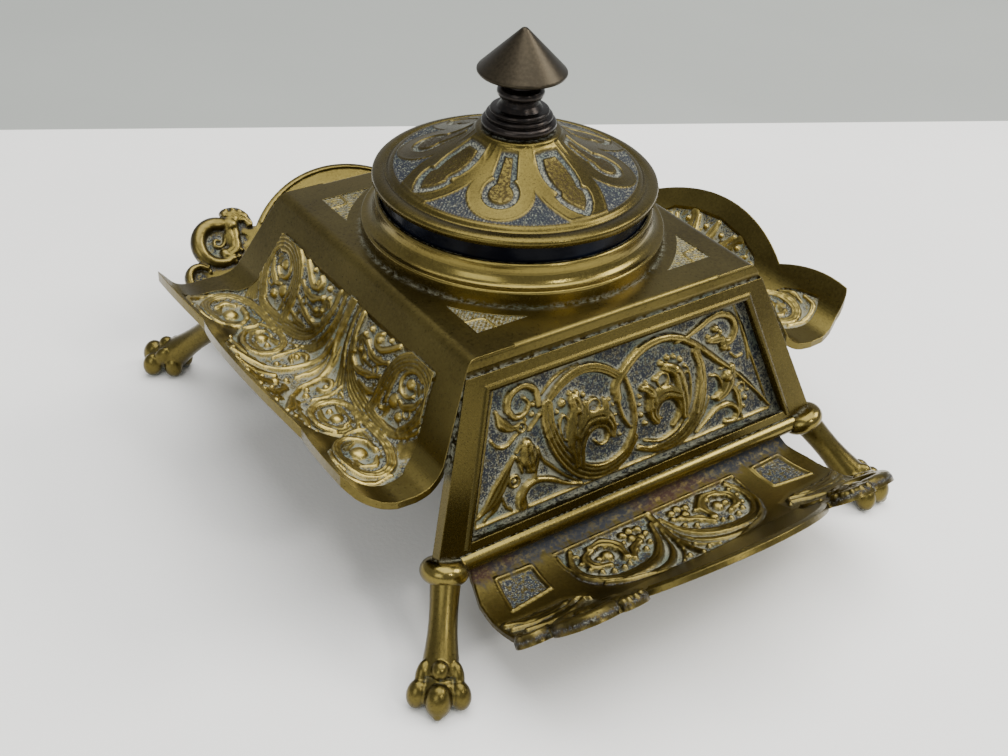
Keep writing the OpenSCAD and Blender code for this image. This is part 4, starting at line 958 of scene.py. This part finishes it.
def make_wings(material):
    """The relief that lies in the sunk field of each wing."""
    cell = 0.26
    outline = wing_field()
    relief = Relief(outline.min(0) - 0.5, outline.max(0) + 0.5, cell * 0.8, EVEN)
    carve_wing(relief)
    right = sheet("right_wing_relief", outline, relief, wing_point, WING_SHEET_T, cell, material,
                  level=WING_LIFT - WING_SINK)
    opposite(right, "left_wing_relief")


# ---------------------------------------------------------------- the pen trays

# Section of a tray: a tuck up behind the rail, a short slope, the round floor, and a flange
KNEE_Y, KNEE_Z = 54.3, 19.74
TRAY_R = 29.0
TRAY_BEND, TRAY_FOOT = 7.1, 31.3
SLOPE_TURN, BEND_TURN, FLANGE_TURN = (math.radians(a) for a in (-35.13, -14.78, 46.0))
TRAY_T, TRAY_SINK, TRAY_EDGE_R = 1.6, 0.5, 0.35


def tray_point(u, s, h):
    """A point of the front tray: s outward from its knee by the rail, h above its upper face."""
    tuck = np.minimum(s, 0)
    slope = np.clip(s, 0, TRAY_BEND)
    turn = BEND_TURN + np.clip(s - TRAY_BEND, 0, TRAY_FOOT - TRAY_BEND) / TRAY_R
    lip = np.maximum(s - TRAY_FOOT, 0)
    heading = np.where(s < TRAY_BEND, SLOPE_TURN, turn)
    heading = np.where(s < 0, FACE_LEAN - math.pi / 2, heading)
    heading = np.where(s > TRAY_FOOT, FLANGE_TURN, heading)
    y = (KNEE_Y + tuck * math.sin(FACE_LEAN) + slope * math.cos(SLOPE_TURN)
         + TRAY_R * (np.sin(turn) - math.sin(BEND_TURN)) + lip * math.cos(FLANGE_TURN))
    z = (KNEE_Z - tuck * math.cos(FACE_LEAN) + slope * math.sin(SLOPE_TURN)
         + TRAY_R * (math.cos(BEND_TURN) - np.cos(turn)) + lip * math.sin(FLANGE_TURN))
    return np.stack([-u, -y + h * np.sin(heading), z + h * np.cos(heading)], -1)


def tray_outline():
    """Plan of the tray: tuck, flared sides, and the flange with lobes, volutes, hooks and arch."""
    half = [(0, -9.7), (47.8, -9.7), (48.1, 0), (48.2, 2.1), (49.3, 7.1), (51.4, 13.1),
            (52.2, 19.1), (52.4, 25.3), (52.6, 29.4)]
    half += arc(49.9, 32.3, 4.6, -32, 100, 12)
    half += arc(41, 40.9, 8.3, -28, 112, 20)
    half += spline([(37.4, 48.9), (37.4, 50), (36.4, 50.7), (34, 50.8), (31.4, 50),
                    (29.4, 47.9), (28.7, 45.4), (28.9, 43.6)], 0.8).tolist()
    half += arc(0, 20.4, 36.1, 39.5, 90, 16)
    return both_sides(half)


def carve_tray(r):
    """Leafy scrolls under ribbed arches, a plaque at each end, and volutes on the flange."""
    middle = [(27.8 * math.cos(a), 14 + 18.2 * math.sin(a))
              for a in np.linspace(0.15, math.pi / 2, 12)]
    r.field = r.share_inside(both_sides([(0, 9.6), (27.6, 9.6)] + middle), 0.5)
    # the stem, and the ribbed bands that arch out from it
    r.wire([(0, 10), (0, 18), (0, 30)], (1.3, 1, 0.8), 1)
    r.ribbed([(1.5, 12.5), (4, 18.5), (9, 23.5), (16, 25.3), (22, 24), (26, 19.5), (26.5, 14.5),
              (24.5, 10.6)], (1, 1.9, 1.1), 1.1, 4)
    r.ribbed([(0.8, 15), (3.2, 22.5), (8, 27.4), (13.5, 28.8), (19.5, 27.8), (24.6, 24.2)],
             (0.6, 1.2, 0.5), 0.9, 3)
    r.wire([(0.4, 19), (2, 25), (5.6, 29.6)], (0.4, 0.6, 0.4), 0.8)
    # the leaf that curls round in the scroll, with berries on its outside
    r.leaf([(13.6, 18.4), (13.4, 14.2), (16.2, 11.8), (19.8, 12)], (1.5, 2.4, 1.4), 1.45, 3)
    r.leaf([(19.8, 12.4), (22.4, 14), (22, 17.4), (18.8, 18.8)], (1.3, 2, 1), 1.4, 3)
    r.bead(17.4, 15.6, 1.9, 1.5)
    r.bead(19.8, 15.7, 1.2, 1.3)
    r.beads(1.15, (23.9, 12.4, 0.9), (24.4, 14.9, 0.9), (23.7, 17.5, 0.9), (21.9, 19.6, 0.9),
            (19.4, 20.9, 0.9), (16.6, 21.2, 0.9), (14.6, 20.6, 0.7))
    # the lobed leaf between the scroll and the stem
    r.leaf([(12.4, 19.8), (10.4, 17), (7.6, 15.6)], (0.9, 1.7, 1.2), 1.2, 2)
    r.beads(1.2, (9.9, 12, 1.3), (7.6, 11.5, 1.4), (5.4, 12, 1.3), (4.4, 14, 1.1), (8.4, 13.8, 1.5),
            (6.3, 14.5, 1.4), (5.5, 17, 0.9), (7.9, 18.6, 0.9), (11.2, 14.2, 0.8))
    r.beads(1.1, (1.8, 24.8, 0.7), (0, 26, 0.9), (3, 28.4, 0.8), (0, 13, 1.4), (0, 21, 1.2))
    # border of the field, and the lines under the rail
    r.wire([(27.9, 10.4), (28, 14), (26.2, 20.6), (21, 26.6), (13, 30.2), (5, 31.2), (0, 31.3)],
           0.4, 0.5)
    r.wire([(0, 9.2), (14, 9.2), (28, 9.2)], 0.35, 0.45)
    # a granular plaque at each end of the floor
    rim = [(34.6, 9.4), (44.4, 8.9), (46.6, 19), (35, 17.5), (34.6, 9.4)]
    for a, b in zip(rim, rim[1:]):
        r.wire([a, b], 0.4, 0.45)
    plaque = r.share_inside([(35.1, 10), (44, 9.6), (45.9, 18.3), (35.5, 16.9)], 0.4)
    r.h += 0.09 * plaque * np.random.default_rng(4).random(r.u.shape)
    r.field = np.maximum(r.field, plaque)
    r.chalk = np.maximum(r.chalk, plaque * 0.15)
    # pale dirt between the leaves that cross the foot of the flange
    leafy = r.share_inside([(52, 21.4), (44, 22.4), (36, 22.4), (30.2, 24.6), (29.8, 29.4),
                            (38, 30.6), (52, 29.8)], 2)
    r.field = np.maximum(r.field, 0.6 * leafy)
    r.chalk = np.maximum(r.chalk, leafy)
    # dark grime and rust below the rail, which also paints in the rail's shadow on the slope
    ragged = 0.9 * np.sin(0.9 * r.u) + 0.6 * np.sin(2.3 * r.u + 1) + 0.4 * np.sin(5.1 * r.u)
    r.stain_and_shadow = (1 - soft_step(r.v + ragged, 6.8, 10.4)) * soft_step(r.v, -1, 0.5)
    # the leaf from the corner of the floor over the foot of the flange
    r.leaf([(50.8, 22.6), (46, 24.6), (40.6, 25), (35.4, 24.2)], (1, 2.3, 0.9), 0.9, 4)
    r.leaf([(48.6, 27.6), (43.4, 28.6), (37.8, 28), (32.6, 26)], (0.8, 1.9, 0.7), 0.8, 4)
    r.wire([(51, 25), (45.6, 26.6), (38, 26.4), (33, 24.6), (31, 27)], (0.4, 0.6, 0.4), 0.9)
    r.leaf([(30.6, 31.4), (29.8, 34.6), (31.4, 37.6)], (0.6, 1.4, 0.8), 0.8)
    # volute: a thick ring that runs into the beaked head, with a curl and two bosses inside it
    r.wire(arc(41, 40.9, 6, -115, 95, 14) + [(38.2, 46.4)], (1.3, 2.15, 2), 1.5)
    r.leaf([(36.4, 48.9), (34, 48.2), (31.4, 46.6), (30, 44.4)], (1.3, 2.7, 1.3), 1.25, 3)
    r.leaf([(34.6, 47.4), (35.8, 44.4), (36.4, 41), (37.2, 38.2), (39.8, 36.9)], (2.2, 2.5, 1.9),
           1.4)
    r.bead(35.8, 45.6, 2.6, 1.8)
    r.bead(40.2, 37.4, 1.8, 1.6)
    r.wire([(38.4, 42.8), (39.4, 40.6), (41, 39.7), (42.5, 40.7), (41.8, 42.1), (40.6, 41.6)],
           (0.7, 0.7, 0.45), 0.9)
    r.beads(1.2, (35.6, 50, 0.8), (33.6, 49.8, 0.8), (31.6, 48.8, 0.8), (30.1, 47.1, 0.8),
            (29.6, 45.2, 0.7), (38.2, 34.3, 0.8), (36.5, 35.5, 0.8), (35.2, 37.2, 0.7))
    # the lobe at the end
    r.wire(arc(49.9, 32.3, 3.4, -60, 140, 8), (0.9, 1.1, 0.8), 1.2)
    r.leaf([(46.6, 33.2), (47.2, 36.2), (49.6, 38.2)], (0.5, 0.9, 0.4), 0.8)
    # a fine line along the arch, and dirt in the eyes of the volute and the lobe
    r.wire(arc(0, 20.4, 35, 42, 90, 14), 0.5, 0.45)
    for x, y, size in ((33.4, 40.4, 1.5), (41.6, 40.6, 4), (49.8, 32.4, 1.8)):
        r.dirt_spot(x, y, size)
    r.texture(0.03, 7)


def make_trays(material):
    """The two pen trays with their ornament."""
    cell = 0.28
    outline = tray_outline()
    relief = Relief(outline.min(0) - 0.5, outline.max(0) + 0.5, cell * 0.8, EVEN, TRAY_SINK)
    carve_tray(relief)
    front = sheet("front_tray_relief", outline, relief, tray_point, TRAY_T, cell, material,
                  round_off=TRAY_EDGE_R)
    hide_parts("front_tray")
    back = opposite(front, "back_tray_relief")
    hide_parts("back_tray")


# ---------------------------------------------------------------- corners of the top plate

CORNER_R, CORNER_SINK, CORNER_T = 41.4, 0.3, 0.3
HATCH_PITCH, HATCH_H = 1.25, 0.14


def make_corners(material):
    """Hatched spandrels round the collar, sunk a little into the top plate."""
    cell = 0.17
    curve = [(CORNER_R * math.cos(t), CORNER_R * math.sin(t)) for t in np.linspace(1.05, 0.585, 10)]
    corner = np.asarray([(34.7, 36.2), (20.4, 36.2)] + curve + [(34.7, 22.7)])
    for side, near, far in ((1, "back_right", "front_left"), (-1, "back_left", "front_right")):
        outline = corner * (side, 1)
        relief = Relief(outline.min(0) - 0.5, outline.max(0) + 0.5, cell)
        lines = np.abs(np.sin((side * relief.u - relief.v) * math.pi / HATCH_PITCH))
        relief.h = HATCH_H * soft_step(lines, 0.3, 0.9)
        relief.chalk += 0.12
        line = [(29.4, 36), (29.6, 32.6), (30.8, 31.2), (34.6, 30.9)]
        relief.wire([(side * x, y) for x, y in line], 0.4, 0.36)

        def place(u, v, h):
            return np.stack([u, v, TOP_Z + h], -1)

        hatched = sheet(f"{near}_hatching", outline, relief, place, CORNER_T, cell, material,
                        level=-CORNER_SINK)
        opposite(hatched, f"{far}_hatching")


# ---------------------------------------------------------------- legs

# Where the paws stand and the way they point, and the turned ring as seen from the paw
PAW_X, PAW_Y, PAW_TURN = 66.5, 73.7, math.radians(54.5)
RING_BACK, RING_Z = -18.7, 20.6


def ball(shape, x, y, z, size, turn=0.0, lean=0.0):
    """Adds an egg to the shape, turned about Z and leant back about its own Y, in degrees."""
    about_z = Matrix.Rotation(math.radians(turn), 4, "Z")
    about_y = Matrix.Rotation(math.radians(lean), 4, "Y")
    place = Matrix.Translation((x, y, z)) @ (about_z @ about_y)
    bmesh.ops.create_uvsphere(shape, u_segments=40, v_segments=24, radius=1,
                              matrix=place @ Matrix.Diagonal((*size, 1)))


def add_paw(shape):
    """A lion's paw at the origin, its toes to +X and a claw under the middle one."""
    ball(shape, -1.8, 0, 4.8, (4.4, 4.3, 4.0))
    ball(shape, 1.2, 0, 3.9, (4.2, 4.4, 3.7))
    ball(shape, 4.1, 0, 4.1, (3.1, 3.0, 4.1), 0, -10)
    ball(shape, -0.4, 0, 8.5, (2.2, 2.0, 2.4), 0, -35)
    ball(shape, 6.2, 0, 2.2, (1.0, 1.2, 1.8))
    for side in (-1, 1):
        ball(shape, 1.7, side * 4.5, 3.6, (2.9, 2.5, 3.6), side * 35, -10)
        ball(shape, -1.2, side * 3.7, 6.7, (2.1, 1.6, 3.2), side * 20, -38)
        ball(shape, -3.8, side * 2.9, 3.4, (2.7, 2.3, 3.4))


def add_shank(shape, steps=14, sides=40):
    """The round shank from the turned ring down into the paw, a little waisted."""
    start, end = Vector((RING_BACK + 1.6, 0, RING_Z - 1.4)), Vector((-1.9, 0, 5.2))
    aim = (end - start).to_track_quat("Z", "Y").to_matrix()
    loops = []
    for k in range(steps + 1):
        t = k / steps
        r = 3.5 - 0.30 * math.sin(math.pi * min(1, t * 1.3)) + 1.1 * t**4
        middle = start + (end - start) * t
        loops.append([shape.verts.new(middle + aim @ Vector((r * math.cos(a), r * math.sin(a), 0)))
                      for a in np.linspace(0, 2 * math.pi, sides, endpoint=False)])
    for low, high in zip(loops, loops[1:]):
        for a, b, c, d in zip(low, low[1:] + low[:1], high[1:] + high[:1], high):
            shape.faces.new((a, b, c, d))
    shape.faces.new(reversed(loops[0]))
    shape.faces.new(loops[-1])


def fused(shape, voxel):
    """The points and faces of the shape's forms melted into one skin."""
    rough = bpy.data.meshes.new("leg_shape")
    shape.to_mesh(rough)
    shape.free()
    maker = add("leg_maker", rough)
    remesh = maker.modifiers.new("remesh", "REMESH")
    remesh.mode = "VOXEL"
    remesh.voxel_size = voxel
    smooth = maker.modifiers.new("smooth", "SMOOTH")
    smooth.factor = 0.5
    smooth.iterations = 3
    graph = bpy.context.evaluated_depsgraph_get()
    solid = bpy.data.meshes.new_from_object(maker.evaluated_get(graph))
    bpy.data.objects.remove(maker)
    points = np.empty(3 * len(solid.vertices))
    solid.vertices.foreach_get("co", points)
    return points.reshape(-1, 3), [list(p.vertices) for p in solid.polygons]


def make_legs(material):
    """The four legs, each a shank with a lion's paw that stands flat on the table."""
    shape = bmesh.new()
    add_paw(shape)
    add_shank(shape)
    points, faces = fused(shape, 0.26)
    points[:, 2] = np.maximum(points[:, 2], 0)
    for front in (-1, 1):
        for right in (-1, 1):
            turn = math.atan2(front * math.sin(PAW_TURN), right * math.cos(PAW_TURN))
            c, s = math.cos(turn), math.sin(turn)
            x = points[:, 0] * c - points[:, 1] * s + right * PAW_X
            y = points[:, 0] * s + points[:, 1] * c + front * PAW_Y
            name = f"{'back' if front > 0 else 'front'}_{'right' if right > 0 else 'left'}_leg"
            leg = make_object(f"{name}_cast", np.stack([x, y, points[:, 2]], -1), faces, material)
            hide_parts(name)


# ---------------------------------------------------------------- lid

# Radii and heights of the lid, measured from the rim of the pot
POT_TOP_Z = 77.9
LID_R, LID_SEAT_R, LID_RISE = 35.2, 10.0, 13.8
DOME_OUT, DOME_IN = LID_R - 5, LID_SEAT_R + 0.6
DOME_FOOT, DOME_RISE, DOME_T = 3.1, LID_RISE - 3.9, 1.8
STUD_HOLE_R = 2.03
PETAL_SINK = 0.45
EYE_X = 21.6
LID_HATCH_PITCH, LID_HATCH_H = 0.8, 0.32


def dome_height(r):
    """Height of the plain dome over the pot's rim, at radius r."""
    t = (DOME_OUT - r) / (DOME_OUT - DOME_IN)
    return DOME_FOOT + DOME_RISE * (0.78 * t + 0.22 * t**5)


def turned_by(outline, angle):
    """An outline turned round the middle of the lid."""
    c, s = math.cos(math.radians(angle)), math.sin(math.radians(angle))
    return np.asarray(outline) @ np.array([[c, s], [-s, c]])


def half_petal(points):
    """A closed outline along +X from its upper half."""
    return np.asarray(points + [(x, -y) for x, y in reversed(points) if y > 0.01])


def carve_lid(r):
    """Eight petals: pointed ones on the axes and keyholes between, over hatched spandrels."""
    radius = np.hypot(r.u, r.v)
    turn = np.arctan2(r.v, r.u)
    leaf = half_petal([(9, 2.8)] + bow((12, 4), (20, 8.3), (31, 4.6)))
    trough = half_petal([(11.3, 0)] + bow((11.3, 3.2), (17, 4.5), (21.5, 3.4), 4)
                        + bow((22, 4.7), (26.2, 3.5), (29.6, 0), 4))
    island = half_petal([(12.8, 0)] + bow((12.8, 1.7), (17, 2.9), (21.3, 2.3), 4)
                        + bow((22.6, 3.1), (25.2, 2.1), (27.4, 0), 4))
    keyhole = half_petal([(9, 2.9)] + arc(EYE_X, 0, 8, 118, 0, 16))
    hole = half_petal([(11.3, 0), (11.3, 2), (17.3, 2.9), (17.9, 2)]
                      + arc(EYE_X, 0, 4.4, 148, 0, 12))
    button = half_petal([(12.4, 0), (12.4, 0.9), (18.4, 1.5)] + arc(EYE_X, 0, 2.9, 148, 0, 12))
    band, low, raised = (np.zeros_like(r.u) for _ in range(3))
    for k in range(4):
        for shape, layer, angle in ((leaf, band, 0), (trough, low, 0), (island, raised, 0),
                                    (keyhole, band, 45), (hole, low, 45), (button, raised, 45)):
            share = r.share_inside(turned_by(shape, 90 * k + angle), 0.35)
            np.maximum(layer, share, out=layer)
    channel = np.clip(low - raised, 0, 1)
    # the ground between the petals, hatched in each eighth of the turn
    sunk = (1 - band) * soft_step(radius, 19.0, 19.6) * (1 - soft_step(radius, 29.9, 30.4))
    leaning = np.round(turn / (math.pi / 4) - 0.5) * (math.pi / 4) + math.pi / 8 + 0.3
    across = r.v * np.cos(leaning) - r.u * np.sin(leaning)
    lines = np.abs(np.sin(across * math.pi / LID_HATCH_PITCH))
    hatch = LID_HATCH_H * soft_step(lines, 0.3, 0.9) * sunk * soft_step(radius, 19.5, 21)
    rim = np.exp(-((radius - 29.75) / 0.30) ** 2)
    r.h = hatch + 0.20 * rim + 0.10 * raised * np.random.default_rng(2).random(r.u.shape)
    r.h -= (PETAL_SINK + 0.1) * channel + PETAL_SINK * sunk + 0.06 * raised
    # the bands of the petals stand up along their edges
    swell = blur(band * (1 - low), 0.8 / r.cell)
    r.h += 0.22 * band * (1 - low) * (1 - soft_step(swell, 0.35, 0.85))
    r.chalk = np.maximum(0.75 * blur(channel, 0.3 / r.cell) ** 2, 0.5 * (hatch / LID_HATCH_H) ** 2)
    # a thin dark ring at the foot of the dome, by the groove of the rim
    r.stain_and_shadow = 0.8 * np.exp(-((radius - 30.6) / 0.35) ** 2)
    r.field = np.clip(channel + sunk, 0, 1)
    r.punch = raised


def make_lid(material):
    """The lid, turned, with the petals of the relief on its dome."""
    cell = 0.24
    columns = 700
    relief = Relief((-31.5, -31.5), (31.5, 31.5), cell * 0.75)
    carve_lid(relief)
    radii = np.linspace(DOME_OUT, DOME_IN, int((DOME_OUT - DOME_IN) / cell))
    # the turned section: rim and moulding, dome, seat of the finial with its hole, inside
    outer = [(27.4, 0), (30, 0), (LID_R, 0), (LID_R, 0.9)] + arc(LID_R - 0.9, 0.9, 0.9, 10, 80, 4)
    outer += [(LID_R - 2.6, 2.3), (LID_R - 2.9, 2.02), (LID_R - 3.2, 1.92), (LID_R - 3.5, 1.98)]
    outer += [(LID_R - 3.8, 2.3), (LID_R - 4.1, 2.72), (LID_R - 4.5, 2.95), (DOME_OUT + 0.2, 3.02)]
    inner = [(DOME_IN - 0.05, 13.2), (10.35, 13.6), (9.8, LID_RISE), (STUD_HOLE_R, LID_RISE),
             (STUD_HOLE_R, 11.4), (9.2, 11.4)]
    under = [(r, dome_height(r) - DOME_T) for r in np.linspace(DOME_IN, 29.6, 12)] + [(27.4, 1.5)]
    profile = outer + [(r, dome_height(r)) for r in radii] + inner + under
    first, last = len(outer), len(outer) + len(radii)
    turn = np.linspace(0, 2 * math.pi, columns, endpoint=False)
    r, z = np.asarray(profile).T
    x, y = r[:, None] * np.cos(turn), r[:, None] * np.sin(turn)
    z = np.repeat(z[:, None], columns, 1)
    layers = relief.layers()
    on_dome = slice(first, last)
    z[on_dome] += relief.sample(relief.h, x[on_dome], y[on_dome])
    masks = {}
    for key in MASKS:
        values = np.zeros_like(x)
        values[on_dome] = relief.sample(layers[key], x[on_dome], y[on_dome])
        masks[key] = values.ravel()
    index = np.arange(len(r) * columns).reshape(len(r), columns)
    ahead = np.roll(index, -1, 1)
    after = np.roll(index, -1, 0)
    faces = np.stack([index, ahead, np.roll(after, -1, 1), after], -1).reshape(-1, 4).tolist()
    points = np.stack([x, y, POT_TOP_Z + z], -1).reshape(-1, 3)
    lid = make_object("lid_petals", points, faces, material, "lid", masks)
    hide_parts("lid_dome")


# ---------------------------------------------------------------- everything

def dress_nodes(finishes):
    """Gives the CAD nodes their finishes, those that a relief stands in for included."""
    for names, material in finishes:
        for name in names:
            mesh = nodes[name].data
            mesh.materials.clear()
            mesh.materials.append(material)


make_camera()
make_stage()
make_lights()

cast = brass_material("cast_brass", polish=0.4, chalk=0.8, bare=0.3, tone=0.86)
frame_brass = brass_material("frame_brass", polish=0.55, chalk=0.8, bare=0.3, tone=0.56)
turned = brass_material("turned_brass", polish=0.85, chalk=0.75, bare=0.15, tone=1.18, shade_and_grime=0.5,
                        lathe=True)
lid_brass = brass_material("lid_brass", polish=0.5, chalk=0.15, bare=0.1, tone=0.74, shade_and_grime=0.4)
panel_brass = brass_material("panel_brass", polish=0.48, chalk=0.55, bare=0.2, tone=0.92, shade_and_grime=0.6,
                             caked=0.4)
# a brighter copy of the brass: its high tone paints in the light on the wings and the hatched
# corners of the top plate
lit_wing_brass = brass_material("lit_wing_brass", polish=0.25, chalk=0.95, bare=0.36, tone=1.75, shade_and_grime=0.35,
                            caked=0.8)
tray_brass = brass_material("tray_brass", polish=0.36, chalk=0.45, bare=0.4, tone=0.76, shade_and_grime=0.45,
                            caked=0.4)
stem = bronze_material("dark_bronze", (0.010, 0.009, 0.009), (0.026, 0.020, 0.016), 0.24)
cone = bronze_material("brown_bronze", (0.024, 0.019, 0.011), (0.038, 0.030, 0.018), 0.34)
glaze = glaze_material("pot_glaze")
fixings = screw_material("screw_brass")

sides = [f"{a}_{b}" for a in ("front", "back") for b in ("left", "right")]
dress_nodes([
    (["saddle", "front_tray", "back_tray"], cast),
    (["front_frame", "back_frame"], frame_brass),
    (["well_collar", "front_rail", "back_rail", "lid_dome", "lid_flange"], turned),
    ([f"{s}_ring" for s in sides], turned),
    ([f"{s}_leg" for s in sides], cast),
    (["front_panel", "back_panel"], panel_brass),
    (["finial_stem"], stem),
    (["finial_cone"], cone),
    (["ink_pot"], glaze),
    (["saddle_screws", "front_tray_screws", "back_tray_screws", "finial_stud", "finial_nut"],
     fixings),
])

make_panels(panel_brass)
make_wings(lit_wing_brass)
make_trays(tray_brass)
make_corners(lit_wing_brass)
make_lid(lid_brass)
make_legs(cast)
